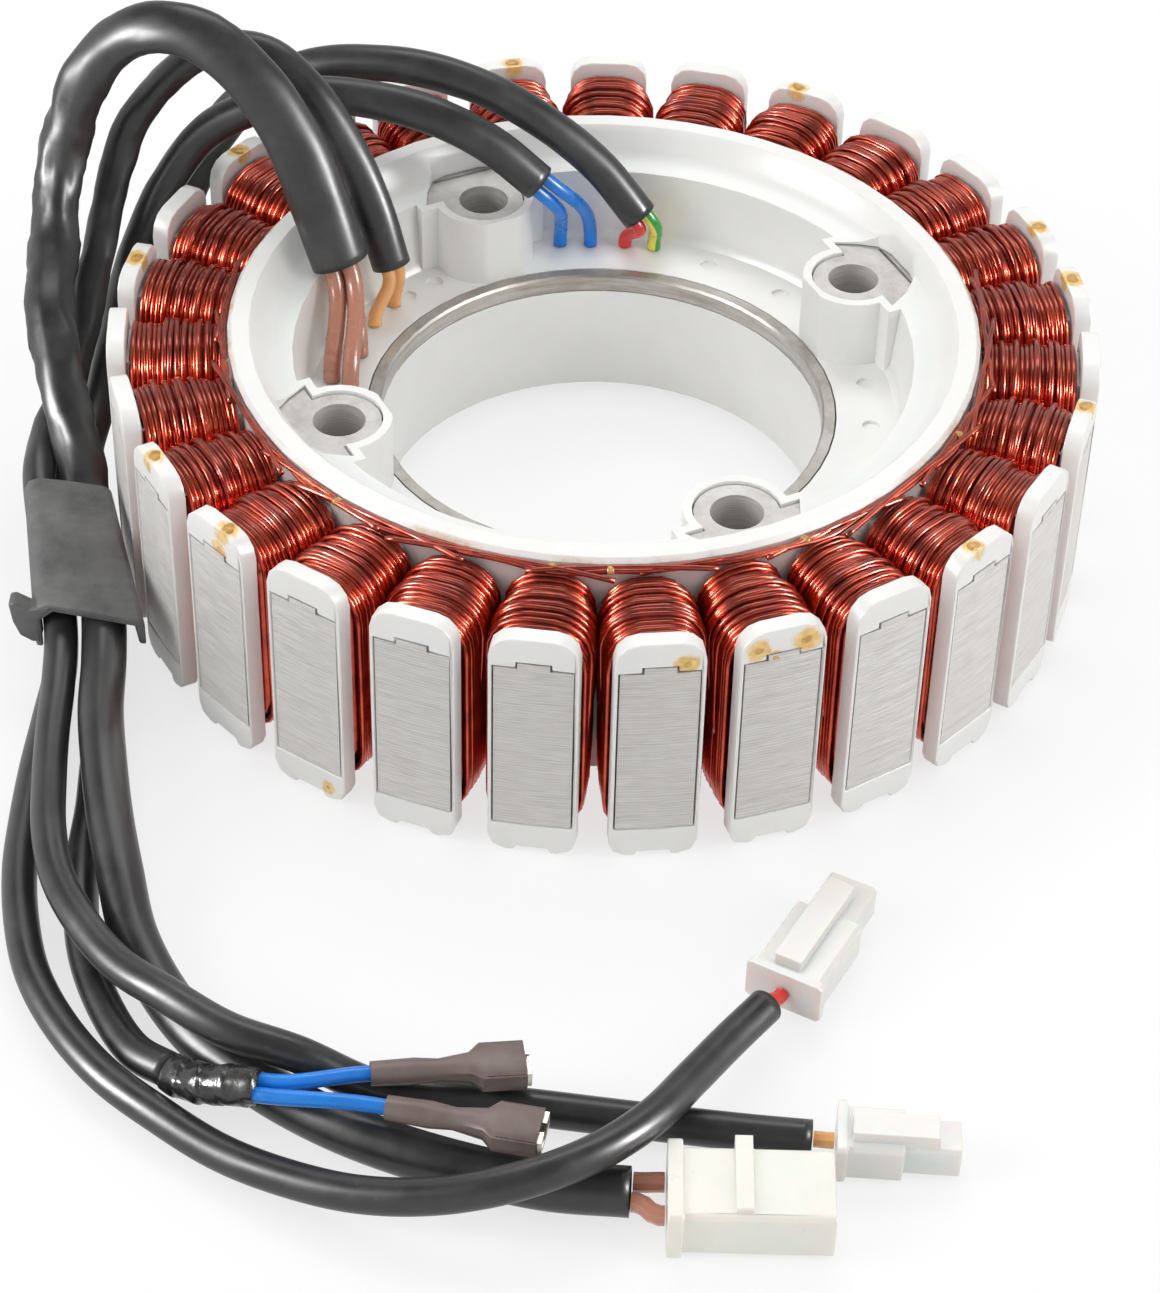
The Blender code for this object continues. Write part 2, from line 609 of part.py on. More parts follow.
def blue_tail(number, start_shift, receptacle):
    """One lead from the taped end to its receptacle."""
    start = Vector(TAPE_END)
    along = Vector(TAPE_HEADING).normalized()
    across = along.cross(Vector((0, 0, 1))).normalized()
    begin = start + along * GAP + across * start_shift
    mouth, far = Vector(receptacle[0]), Vector(receptacle[1])
    ahead = (far - mouth).normalized()
    points = bridge(begin, along, mouth - ahead * GAP, ahead)
    return tube(f"tail_blue_{number}", points, LEAD_DIAMETER)


def oval(half_width, half_height, steps=12):
    """Flat section with full round sides, or a circle where both sizes agree."""
    turns = [2 * math.pi * i / steps for i in range(steps)]
    power = 0.6 if half_width > half_height * 1.3 else 1.0

    def push(value):
        return math.copysign(abs(value) ** power, value)

    return [(half_width * push(math.cos(t)), half_height * push(math.sin(t))) for t in turns]


def terminal_sleeve(number, ends):
    """Shrink sleeve: round on the wire, waisted, then flat over the receptacle."""
    start, end = Vector(ends[0]), Vector(ends[1])
    length = (end - start).length
    wide, tall = SHRINK_WIDTH / 2, SHRINK_HEIGHT / 2
    wire = LEAD_DIAMETER / 2 + 0.7
    flat = length - SHRINK_POCKET
    sections = (
        (oval(wire, wire), 0), (oval(wire + 0.3, wire), flat * 0.4), (oval(wire - 0.1, wire - 0.3), flat * 0.62),
        (oval(wire + 0.5, wire - 0.2), flat * 0.9), (oval(wide, tall), flat), (oval(wide, tall), length),
    )
    place = axis_place(start, end - start)
    body = loft(f"terminal_sleeve_{number}", sections, place)
    half, height = wide - 0.6, tall - 0.6
    pocket = prism("pocket", box(half, -height, height), length - SHRINK_POCKET + 0.6, length + 1, place)
    return combine(body, pocket, "DIFFERENCE")


def blade_receptacle(number, ends):
    """Folded receptacle: a flat floor with both edges curled in over it."""
    start, end = Vector(ends[0]), Vector(ends[1])
    length = (end - start).length
    half, height, wall = SHRINK_WIDTH / 2 - 0.6 - GAP, SHRINK_HEIGHT / 2 - 0.6 - GAP, BLADE_WALL
    lip = half * 0.72
    folded = [
        (half, -height), (half, height), (half - lip, height), (half - lip, height - wall),
        (half - wall, height - wall), (half - wall, wall - height), (wall - half, wall - height),
        (wall - half, height - wall), (lip - half, height - wall), (lip - half, height), (-half, height),
        (-half, -height),
    ]
    place = axis_place(start, end - start)
    begin = length - SHRINK_POCKET + 0.6 + GAP
    return prism(f"blade_receptacle_{number}", folded, begin, length + BLADE_PROUD, place)


def heading_vector(heading):
    return Vector((math.cos(math.radians(heading)), math.sin(math.radians(heading)), 0))


def connector_large():
    """Two-way power housing with an end flange, a locating rib and two square sockets."""
    place = axis_place(Vector(LARGE_AT), heading_vector(LARGE_HEADING))
    body = prism("connector_large", chamfered_box(7.2, 0.0, 9.0, 0.7), 0.5, 25.8, place)
    body = combine(body, prism("flange", chamfered_box(8.2, -0.1, 9.8, 0.6), 0, 2.4, place), "UNION")
    rib = [(-8.8, 1.0), (-6.0, 1.0), (-6.0, 7.0), (6.0, 7.0), (6.0, 9.9), (-8.8, 9.9)]
    body = combine(body, prism("rib", rib, 10.4, 13.2, place), "UNION")
    for side in (-1, 1):
        socket = [(side * 3.3 + a, b) for a, b in box(2.6, 1.6, 7.4)]
        body = combine(body, prism("socket", socket, 12.0, 27.0, place), "DIFFERENCE")
    return body


def branch_connector(name, at, heading, width, body_length, nose_length, latch_side):
    """Small two-way housing: stepped nose, end flange and a latch arm on top."""
    place = axis_place(Vector(at), heading_vector(heading))
    half = width / 2
    body = prism(name, chamfered_box(half, 0.0, 7.2, 0.6), 0.4, body_length, place)
    nose = prism("nose", chamfered_box(half * 0.72, 0.5, 6.6, 0.5), body_length - 1, body_length + nose_length, place)
    body = combine(body, nose, "UNION")
    body = combine(body, prism("flange", chamfered_box(half + 0.8, -0.1, 7.7, 0.5), 0, 1.6, place), "UNION")
    latch = [(latch_side * 0.6 + a, b) for a, b in box(2.4, 6.0, 9.2)]
    body = combine(body, prism("latch", latch, 2.4, body_length + nose_length * 0.6, place), "UNION")
    for side in (-1, 1):
        socket = [(side * half * 0.36 + a, b + 3.6) for a, b in arc((0, 0), 1.1, 0, 315, 7)]
        tool = prism("socket", socket, body_length, body_length + nose_length + 1, place)
        body = combine(body, tool, "DIFFERENCE")
    return body


def plug_tails(name, route, at, heading, height, diameter, shifts):
    """Short bare stretch of each lead between a sleeve's end and its plug."""
    end = Vector(route[-1])
    ahead = (end - Vector(route[-2])).normalized()
    across = ahead.cross(Vector((0, 0, 1))).normalized()
    run = heading_vector(heading)
    right = run.cross(Vector((0, 0, 1))).normalized()
    made = []
    for i, (near, far) in enumerate(shifts, start=1):
        begin = end + ahead * GAP + across * near
        face = Vector(at) + Vector((0, 0, height)) + right * far - run * GAP
        label = name if len(shifts) == 1 else f"{name}_{i}"
        made.append(tube(label, bridge(begin, ahead, face, run, 3), diameter))
    return made


def paint(objects, finish):
    for obj in objects:
        obj.data.materials.clear()
        obj.data.materials.append(finish)


def build():
    clear_scene()
    steel = material("lamination_steel", (0.55, 0.54, 0.52), 0.42, 0.9)
    white = material("white_moulding", (0.88, 0.88, 0.86), 0.45)
    ring = material("ring_steel", (0.50, 0.48, 0.45), 0.4, 0.9)
    enamel = material("enamelled_copper", (0.42, 0.08, 0.03), 0.3, 0.6)
    rubber = material("clip_rubber", (0.10, 0.10, 0.10), 0.75)
    vinyl = material("black_vinyl", (0.03, 0.03, 0.03), 0.38)
    brown = material("brown_lead", (0.45, 0.16, 0.08), 0.4)
    orange = material("orange_lead", (0.85, 0.30, 0.08), 0.4)
    blue = material("blue_lead", (0.01, 0.20, 0.62), 0.4)
    red = material("red_lead", (0.75, 0.06, 0.04), 0.4)
    earth = material("green_yellow_lead", (0.45, 0.60, 0.08), 0.4)
    tape = material("black_tape", (0.02, 0.02, 0.02), 0.3)
    shrink = material("brown_shrink_sleeve", (0.13, 0.08, 0.07), 0.45)
    plate = material("tinned_blade", (0.70, 0.68, 0.62), 0.25, 1.0)
    nylon = material("ivory_nylon", (0.85, 0.83, 0.76), 0.5)

    paint([laminated_core()], steel)
    paint([insulator()], white)
    paint([bore_ring()], ring)
    paint([coil(i, azimuth) for i, azimuth in enumerate(tooth_azimuths(), start=1)], enamel)
    paint([crossover_wire(i, span) for i, span in enumerate(CROSSOVER_SPANS, start=1)], enamel)
    paint([cable_clip()], rubber)
    paint(
        [
            tube("sleeve_main", smooth_route(MAIN_ROUTE), MAIN_DIAMETER),
            tube("sleeve_orange", smooth_route(ORANGE_ROUTE), BRANCH_DIAMETER),
            tube("sleeve_blue", smooth_route(BLUE_ROUTE), BRANCH_DIAMETER),
            tube("sleeve_red", smooth_route(RED_ROUTE), BRANCH_DIAMETER),
        ],
        vinyl,
    )
    paint(brown_leads(), brown)
    paint(lead_pair(("lead_orange_1", "lead_orange_2"), ORANGE_ROUTE, ORANGE_ROOTS), orange)
    paint(lead_pair(("lead_blue_1", "lead_blue_2"), BLUE_ROUTE, BLUE_ROOTS), blue)
    lead_red, lead_earth = lead_pair(("lead_red", "lead_earth"), RED_ROUTE, RED_ROOTS)
    paint([lead_red], red)
    paint([lead_earth], earth)
    paint([tape_wrap()], tape)
    paint([blue_tail(1, -LEAD_SPREAD, RECEPTACLES[0]), blue_tail(2, LEAD_SPREAD, RECEPTACLES[1])], blue)
    paint([terminal_sleeve(i, ends) for i, ends in enumerate(RECEPTACLES, start=1)], shrink)
    paint([blade_receptacle(i, ends) for i, ends in enumerate(RECEPTACLES, start=1)], plate)
    large = ((-2.0, -3.3), (2.0, 3.3))
    paint(plug_tails("tail_brown", MAIN_ROUTE, LARGE_AT, LARGE_HEADING, 4.5, BROWN_DIAMETER, large), brown)
    paint(plug_tails("tail_orange", ORANGE_ROUTE, SIDE_AT, SIDE_HEADING, 3.6, LEAD_DIAMETER, ((0, 0),)), orange)
    paint(plug_tails("tail_red", RED_ROUTE, TOP_AT, TOP_HEADING, 3.6, LEAD_DIAMETER, ((0, 0),)), red)
    side = branch_connector("connector_side", SIDE_AT, SIDE_HEADING, 9.4, 10.5, 9.0, 1)
    top = branch_connector("connector_top", TOP_AT, TOP_HEADING, 12.0, 17.0, 9.5, -1)
    paint([connector_large(), side, top], nylon)


build()
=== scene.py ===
"""Looks of the wound stator: windings, sleeves, leads, materials, light and camera.

Sizes are in millimetres and become metres where a mesh is made. The bore axis is world Z and the
stator stands on z = 0. Azimuth is the angle from -Y towards +X.
"""

import math
import random
import bmesh
import bpy
from mathutils import Matrix, Vector, noise


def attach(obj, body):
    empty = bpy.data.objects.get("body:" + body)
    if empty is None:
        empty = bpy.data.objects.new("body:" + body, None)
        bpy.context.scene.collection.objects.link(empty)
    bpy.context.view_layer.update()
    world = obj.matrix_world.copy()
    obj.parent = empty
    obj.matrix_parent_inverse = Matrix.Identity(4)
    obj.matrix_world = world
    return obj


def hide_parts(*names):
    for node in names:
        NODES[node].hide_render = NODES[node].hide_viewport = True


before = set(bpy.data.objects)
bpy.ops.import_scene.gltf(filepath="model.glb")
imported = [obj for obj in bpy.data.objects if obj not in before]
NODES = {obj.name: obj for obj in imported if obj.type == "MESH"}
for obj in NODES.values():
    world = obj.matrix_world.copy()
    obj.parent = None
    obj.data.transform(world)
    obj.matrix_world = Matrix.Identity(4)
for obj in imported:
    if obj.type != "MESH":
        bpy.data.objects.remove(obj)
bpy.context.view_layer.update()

MM = 0.001
UP = Vector((0, 0, 1))

# Sizes shared with the solid model
TEETH = 27
FIRST_TOOTH = 6.7
CORE_RADIUS = 90.0
HUB_RADIUS = 68.4
OVERALL_HEIGHT = 48.0
FLOOR_LEVEL = 28.4
FLANGE_BACK = 86.6
COIL_WIDTH = 15.3
GAP = 0.3
FLANGE_FACE = CORE_RADIUS - 0.1

# Camera of the photograph
CAMERA_AIM = (-2.88, 0.0, -31.6)
CAMERA_DISTANCE = 685.14
CAMERA_ELEVATION = 41.42
CAMERA_ROLL = 1.47
CAMERA_LENS = 96.86
SENSOR_WIDTH = 36

# Windings
WIRE = 1.0
TURNS = 18
WINDING_VARIANTS = 4
WINDING_STRAYS = 7
WIRE_SIDES = 8
TURN_POINTS = 44
STRAY_POINTS = 28
COIL_FOOT = 2.6
COIL_TOP = 45.1
COIL_CORNER = 6.3

# How far a turn strays: upwards, along the tooth and outwards
TURN_STRAYS = ((-0.75, 0.3), (-0.22, 0.22), (-0.12, 0.12))

# Closed core behind the turns: half width, foot, top and corner of its two loops
CORE_LOOP = (COIL_WIDTH / 2 - 1.2, 3.4, 43.9, 5.4)
HOLLOW_LOOP = (5.1, 4.9, 43.1, 0.4)
LOOP_POINTS = 40
JOIN_DISTANCE = 1e-7

# Wires that run along the rim: first and last azimuth, radius and height
RIM_WIRES = ((-112, 70, 69.2, 46.9), (-58, 104, 69.9, 46.8))

# Azimuths at which a wire crosses from coil to coil, with the radius that it touches
CROSSINGS = (-96, -78, -62, -47, -31, -12, 3, 17, 34, 49, 63, 80, 92)
CROSSING_RADIUS = 69.3
CROSSING_POINTS = 24

# Routes of the four sleeves, from the hub to the plugs
MAIN_ROUTE = (
    (-49.5, 20, 45), (-53.5, 22.5, 57), (-58, 26, 68), (-65, 30, 77.5), (-75, 34.5, 84), (-86.5, 38, 83),
    (-95.5, 39.5, 74.5), (-101, 38, 63), (-103, 33, 52), (-103.5, 23.5, 44), (-103, 11.5, 40),
    (-100.5, 0.5, 34), (-97, -9.5, 26), (-94, -19.5, 20.5), (-91, -31.5, 16.5), (-88.5, -43, 13),
    (-87, -55.5, 11.5), (-86, -68.5, 11.5), (-84, -81, 11.5), (-81.5, -93.5, 10.5), (-78.5, -105.5, 9),
    (-75, -117.5, 6.5), (-69, -128.5, 4.5), (-61.5, -138.5, 4.1), (-52, -147, 4.1), (-41.5, -154, 4.1),
    (-30, -159.5, 4.1), (-18, -163.5, 4.1), (-5.5, -166.5, 4.2), (7, -167.5, 4.5),
)
ORANGE_ROUTE = (
    (-40.5, 28, 39), (-44, 30.5, 50.5), (-49, 34.5, 61), (-55.5, 38.5, 70), (-64.5, 43, 75.5),
    (-75.5, 46.5, 73.5), (-85, 47, 65), (-91.5, 44.5, 55.5), (-94.5, 38, 46), (-96, 27.5, 40),
    (-97.5, 17.5, 33.5), (-99.5, 8.5, 26), (-102.5, -2.5, 22), (-103, -14.5, 21.5), (-101, -26, 18.5),
    (-98, -37, 14.5), (-95.5, -48.5, 11.5), (-94.5, -60.5, 10), (-94, -72.5, 9.5), (-93, -84.5, 9.5),
    (-91.5, -96.5, 10), (-88.5, -108, 10), (-83, -119, 10.5), (-76, -128.5, 11), (-67, -136.5, 12.5),
    (-57, -143, 12), (-45.5, -146, 10), (-34, -147.5, 4.5), (-22, -148.5, 3.1), (-10.5, -149.5, 3.1),
    (1.5, -151, 3.1), (13.5, -152.5, 3.1), (25.5, -154, 3.3), (35.4, -155.2, 3.7),
)
BLUE_ROUTE = (
    (-13, 42, 49), (-22, 43, 56.5), (-32.5, 44.5, 61.5), (-44, 46.5, 63.5), (-56, 48, 63.5),
    (-67.5, 48.5, 60), (-77.5, 47.5, 54), (-84.5, 44, 45), (-89.5, 37, 36.5), (-92, 27.5, 30),
    (-93.5, 17.5, 24), (-95, 7, 19), (-96, -4.5, 16.5), (-95, -16, 14), (-92.5, -27, 10), (-90, -38, 6),
    (-88, -49.5, 4), (-86.5, -61.5, 3.5), (-86.5, -73.5, 3.5), (-86, -85, 3.5), (-86, -97, 3.5),
    (-85, -109, 3.1), (-82.5, -120.5, 3.1), (-78, -131.5, 3.2), (-72.5, -140.5, 3.8), (-65.8, -146.3, 5.5),
)
RED_ROUTE = (
    (6.5, 47, 38.5), (-1.5, 49.5, 48), (-11, 51.5, 55.5), (-22, 53.5, 61.5), (-34, 56, 64.5),
    (-46, 59, 64), (-58, 61.5, 61), (-69, 62.5, 54.5), (-77, 59.5, 45.5), (-82.5, 52.5, 36.5),
    (-87.5, 43.5, 29), (-92, 33.5, 23.5), (-96.5, 22.5, 19), (-100, 11, 16), (-102.5, -1, 14.5),
    (-103, -14, 14), (-100.5, -26, 11.5), (-97.5, -37, 7), (-96, -49.5, 4), (-96.5, -62, 3.1),
    (-97, -74.5, 3.1), (-97, -87, 3.1), (-96.5, -99.5, 3.1), (-94.5, -112, 3.3), (-91, -124, 3.3),
    (-85, -135, 3.1), (-77, -145, 3.1), (-67.5, -153, 3.1), (-57, -160.5, 3.1), (-46, -166.5, 4.5),
    (-34.5, -171, 6.5), (-22.5, -173, 9), (-10.5, -172, 11.5), (1, -167, 12.5), (10, -158.5, 11.5),
    (16.5, -148, 9), (23, -137.5, 7), (28.6, -129.4, 6),
)

# Form of each sleeve: distance along it, half width, half thickness and crumple
MAIN_FORM = (
    (0, 5.4, 4.4, 0.0), (12, 5.5, 3.6, 0.02), (32, 5.3, 2.9, 0.03), (62, 4.9, 2.9, 0.08),
    (95, 4.7, 3.4, 0.28), (150, 4.6, 3.5, 0.24), (172, 4.1, 3.9, 0.08), (190, 4.0, 4.0, 0.0),
)
ORANGE_FORM = (
    (0, 3.7, 3.3, 0.0), (14, 3.8, 2.5, 0.02), (40, 3.5, 2.6, 0.03), (75, 3.3, 2.8, 0.18),
    (140, 3.1, 2.8, 0.16), (170, 3.0, 3.0, 0.0),
)
BLUE_FORM = (
    (0, 3.7, 3.3, 0.0), (14, 3.8, 2.5, 0.02), (45, 3.6, 2.6, 0.02), (90, 3.4, 2.8, 0.12),
    (130, 3.1, 2.9, 0.08), (150, 3.0, 3.0, 0.0),
)
RED_FORM = (
    (0, 3.5, 3.3, 0.0), (14, 3.5, 2.7, 0.02), (60, 3.6, 2.6, 0.04), (110, 3.9, 2.5, 0.1),
    (150, 3.4, 2.7, 0.1), (180, 3.0, 3.0, 0.0),
)

# Sleeves: name, route, form, seed of the crumples, diameter and solids at the far end
SLEEVES = (
    ("main", MAIN_ROUTE, MAIN_FORM, 0.0, 8.0, ("tail_brown_1", "tail_brown_2", "connector_large")),
    ("orange", ORANGE_ROUTE, ORANGE_FORM, 11.0, 6.0, ("tail_orange", "connector_side")),
    ("blue", BLUE_ROUTE, BLUE_FORM, 23.0, 6.0,
     ("terminal_sleeve_1", "terminal_sleeve_2", "blade_receptacle_1", "blade_receptacle_2")),
    ("red", RED_ROUTE, RED_FORM, 37.0, 6.0, ("tail_red", "connector_top")),
)
SLEEVE_SPACING = 1.5
SLEEVE_WALL = 0.55
SLEEVE_MOUTH = 7.0
SLEEVE_SIDES = 28

# Leads at the hub: sizes, then each one's name and slot and where it leaves the floor
BROWN_DIAMETER = 3.2
LEAD_DIAMETER = 2.6
LEAD_SPREAD = 1.5
LEAD_TUCK = 2.0
LEAD_SIDES = 16
BROWN_TURNS = (210, 330, 90)
BROWN_ROOTS = ((-45.7, 13.4), (-50.4, 5.2), (-46.8, 2.6))
ORANGE_LEADS = (
    ("lead_orange_1", "orange_lead", (-43.5, 23.0)), ("lead_orange_2", "orange_lead", (-40.1, 29.6)),
)
BLUE_LEADS = (("lead_blue_1", "blue_lead", (-8.8, 51.1)), ("lead_blue_2", "blue_lead", (-2.9, 51.3)))
RED_LEADS = (("lead_red", "red_lead", (3.9, 51.4)), ("lead_earth", "green_yellow_lead", (9.6, 50.6)))

# Taped end of the blue sleeve and its two tails
TAPE_DIAMETER = 7.2
TAPE_SIDES = 36
TAPE_LAP = 4.4
TAPE_END = (-51.3, -153.8, 10.8)
TAPE_HEADING = (1.0, -0.25, 0.15)
RECEPTACLES = (
    ((-34.0, -149.8, 10.2), (-9.9, -146.2, 9.2)),
    ((-31.0, -157.6, 11.3), (-7.0, -162.0, 11.3)),
)

# Rubber hood round the sleeves. Each end: left, right, crown, fall to the right and both feet
HOOD_FAR = (-104.6, -88.4, 26.2, 0.4, 13.0, 14.5)
HOOD_NEAR = (-100.0, -79.8, 18.6, 1.4, 8.4, 11.5)
HOOD_ENDS = (24.0, 50.0)
HOOD_SKEW = 0.12
HOOD_MIDDLE = -92.0
HOOD_WALL = 1.3
HOOD_ROOF = 1.8
LOBE_REACH = 4.4
LOBE_THICKNESS = 3.4
HOOD_RINGS = 8
HOOD_EDGE = 0.45

# The side of a flattened sleeve that faces the camera of the photograph
FACING = Vector((0.0, -0.66, 0.75))

# Steps of a smooth curve, and the straight ends and pull of a run that joins two faces
CURVE_STEPS = 16
BRIDGE_STEPS = 18
BRIDGE_STRAIGHT = 0.8
BRIDGE_PULL = 0.36

# Varnish drops on the flanges: tooth, place along the rim, height, radius and distance inwards
DROPS = (
    (0, 4.4, 43.3, 1.5, 0.0), (1, -4.6, 44.2, 1.6, 0.0), (1, 3.9, 44.6, 1.9, 0.0),
    (1, -1.5, 41.9, 1.1, 0.0), (23, 1.5, 43.5, 1.3, 0.0), (23, 2.5, 47.0, 1.6, 1.5),
    (22, -1.0, 46.8, 1.5, 1.5), (24, 4.0, 2.5, 0.8, 0.0), (3, -2.0, 47.2, 1.4, 1.6),
    (5, 3.0, 47.0, 1.7, 1.6), (7, 1.0, 47.3, 1.8, 1.8), (8, -2.0, 47.2, 1.5, 1.8),
    (11, 2.0, 47.2, 1.6, 1.8), (14, -1.0, 47.2, 1.6, 1.8), (17, 1.0, 47.2, 1.7, 1.8),
    (19, 0.0, 47.3, 1.8, 1.8),
)
STAIN_MARGIN = 0.8

# Azimuths of the drops on the crossing wires, and their place
WIRE_DROPS = (-6.5, 1.5, -40.0, 30.0, 64.0)
WIRE_DROP_RADIUS = 69.7
WIRE_DROP_LEVEL = 47.0

# Lift and width of a drop's rings, as shares of its height and radius
DROP_RINGS = ((-0.3, 1.0), (0.0, 1.0), (0.45, 0.86), (0.8, 0.55), (0.97, 0.22))
DROP_SIDES = 20

# Solids that are kept: name, slot and, where edges are rounded, width and steps
KEPT = (
    ("laminated_core", "lamination_steel"), ("bore_ring", "ring_steel"),
    ("connector_large", "ivory_nylon", 0.3, 3),
    ("connector_side", "clear_nylon", 0.25, 3), ("connector_top", "clear_nylon", 0.25, 3),
    ("terminal_sleeve_1", "brown_shrink_sleeve"), ("terminal_sleeve_2", "brown_shrink_sleeve"),
    ("blade_receptacle_1", "tinned_blade", 0.1, 2), ("blade_receptacle_2", "tinned_blade", 0.1, 2),
    ("tail_brown_1", "brown_lead"), ("tail_brown_2", "brown_lead"),
    ("tail_orange", "orange_lead"), ("tail_red", "red_lead"),
)
INSULATOR_ROUNDING = 0.35
FLANGES_BEYOND = 80
SHARP_ANGLE = 36.0
WELD_DISTANCE = 1e-6

# Lamps: place, size, power and whether they light more than gloss
LAMPS = {
    "strip_left": ((-0.85, -0.3, 0.34), (0.14, 0.4), 16.0, False),
    "strip_right": ((0.85, -0.3, 0.34), (0.14, 0.4), 16.0, False),
    "softbox_left": ((-0.8, -0.3, 0.6), (0.5, 0.5), 3.0, True),
    "softbox_right": ((0.8, -0.3, 0.6), (0.5, 0.5), 2.0, True),
    "softbox_top": ((0.0, 0.55, 0.95), (0.8, 0.4), 4.0, True),
}
LAMP_AIM = Vector((0, -0.02, 0.02))
WHITE = (1, 1, 1, 1)
WORLD_STRENGTH = 0.66
BACKDROP = ((0.3, 1.0), (0.72, 0.14))
FLOOR_SIZE = 6.0
FLOOR_DROP = 0.0004
FLOOR_COLOUR = (0.86, 0.86, 0.86)
FLOOR_ROUGHNESS = 0.9
FLOOR_GLOW = 0.72


def radial(azimuth):
    angle = math.radians(azimuth)
    return Vector((math.sin(angle), -math.cos(angle), 0))


def tangential(azimuth):
    angle = math.radians(azimuth)
    return Vector((math.cos(angle), math.sin(angle), 0))


def tooth_azimuth(number):
    return FIRST_TOOTH + 360.0 / TEETH * number


def tooth_matrix(number):
    """Local X along the rim, Y outwards and Z up."""
    azimuth = tooth_azimuth(number)
    along, out = tangential(azimuth), radial(azimuth)
    return Matrix((along, out, UP)).transposed().to_4x4()


def smooth_path(points, spacing):
    """Evenly spaced points on a smooth curve through the given ones."""
    ends = [Vector(p) for p in points]
    ends = [ends[0] * 2 - ends[1]] + ends + [ends[-1] * 2 - ends[-2]]
    dense = []
    for i in range(1, len(ends) - 2):
        a, b, c, d = ends[i - 1 : i + 3]
        for step in range(CURVE_STEPS):
            t = step / CURVE_STEPS
            square = (a * 2 - b * 5 + c * 4 - d) * t**2
            cube = (b * 3 - a - c * 3 + d) * t**3
            dense.append((b * 2 + (c - a) * t + square + cube) * 0.5)
    dense.append(ends[-2])
    runs = [0.0]
    for a, b in zip(dense, dense[1:]):
        runs.append(runs[-1] + (b - a).length)
    count = max(2, round(runs[-1] / spacing))
    made, j = [], 0
    for i in range(count + 1):
        want = runs[-1] * i / count
        while j < len(runs) - 2 and runs[j + 1] < want:
            j += 1
        t = (want - runs[j]) / max(runs[j + 1] - runs[j], 1e-9)
        made.append(dense[j].lerp(dense[j + 1], min(max(t, 0), 1)))
    return made


def path_length(path):
    return sum((b - a).length for a, b in zip(path, path[1:]))


def tangents(path):
    made = []
    for i in range(len(path)):
        a, b = path[max(i - 1, 0)], path[min(i + 1, len(path) - 1)]
        made.append((b - a).normalized())
    return made


def bridge(start, leaving, end, arriving):
    """Points of a smooth run that leaves one face squarely and meets the other squarely."""
    begin, finish = start + leaving * BRIDGE_STRAIGHT, end - arriving * BRIDGE_STRAIGHT
    reach = (finish - begin).length * BRIDGE_PULL
    points = [begin, begin + leaving * reach, finish - arriving * reach, finish]
    made = [start]
    for t in [i / BRIDGE_STEPS for i in range(BRIDGE_STEPS + 1)]:
        weights = ((1 - t) ** 3, 3 * t * (1 - t) ** 2, 3 * t**2 * (1 - t), t**3)
        made.append(sum((p * w for p, w in zip(points, weights)), Vector()))
    return made + [end]


def linked(name, data):
    obj = bpy.data.objects.new(name, data)
    bpy.context.collection.objects.link(obj)
    return obj


def place_object(name, mesh, nodes, where=None):
    """Object on the one body, in place of the given nodes."""
    obj = linked(name, mesh)
    if where is not None:
        obj.matrix_world = where
    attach(obj, "root")
    if nodes:
        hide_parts(*nodes)
    return obj


def new_object(name, bm, slot, *nodes, finish=None):
    """Object from a mesh in the making, with its slot's material unless another is given."""
    mesh = mesh_from(name, bm)
    mesh.materials.append(finish or FINISH[slot])
    return place_object(name, mesh, nodes)


def mesh_from(name, bm):
    bmesh.ops.recalc_face_normals(bm, faces=bm.faces)
    for face in bm.faces:
        face.smooth = True
    mesh = bpy.data.meshes.new(name)
    bm.to_mesh(mesh)
    bm.free()
    return mesh


def add_rings(bm, rings, capped=(True, True)):
    """Skin over rings of equal point counts, closed round each ring."""
    verts = [[bm.verts.new(p * MM) for p in ring] for ring in rings]
    for ring, following in zip(verts, verts[1:]):
        for i, corner in enumerate(ring):
            j = (i + 1) % len(ring)
            bm.faces.new((corner, ring[j], following[j], following[i]))
    if capped[0]:
        bm.faces.new(verts[0])
    if capped[1]:
        bm.faces.new(list(reversed(verts[-1])))


def carried_frames(path):
    """Across and over vectors carried along the path without twist."""
    along = tangents(path)
    over = UP if abs(along[0].z) < 0.9 else Vector((1, 0, 0))
    frames = []
    for ahead in along:
        over = (over - ahead * over.dot(ahead)).normalized()
        frames.append((ahead.cross(over), over))
    return frames


def add_wire(bm, path, radius, sides=WIRE_SIDES):
    turns = [2 * math.pi * i / sides for i in range(sides)]
    rings = []
    for spot, (across, over) in zip(path, carried_frames(path)):
        rings.append([spot + (across * math.cos(t) + over * math.sin(t)) * radius for t in turns])
    add_rings(bm, rings)


def wire_object(node, path, diameter, slot):
    bm = bmesh.new()
    add_wire(bm, path, diameter / 2, LEAD_SIDES)
    return new_object(f"{node}_skin", bm, slot, node)


def facing_frames(path):
    """Wide and thin axes of a flattened sleeve, with its broad side towards the camera."""
    frames = []
    for ahead in tangents(path):
        thin = (FACING - ahead * FACING.dot(ahead)).normalized()
        frames.append((ahead.cross(thin), thin))
    return frames


def blend_table(table, at):
    """Values read between the rows (distance, values...) of a short table."""
    for low, high in zip(table, table[1:]):
        if at <= high[0]:
            t = (at - low[0]) / (high[0] - low[0])
            t = t * t * (3 - 2 * t)
            return [a + (b - a) * t for a, b in zip(low[1:], high[1:])]
    return table[-1][1:]


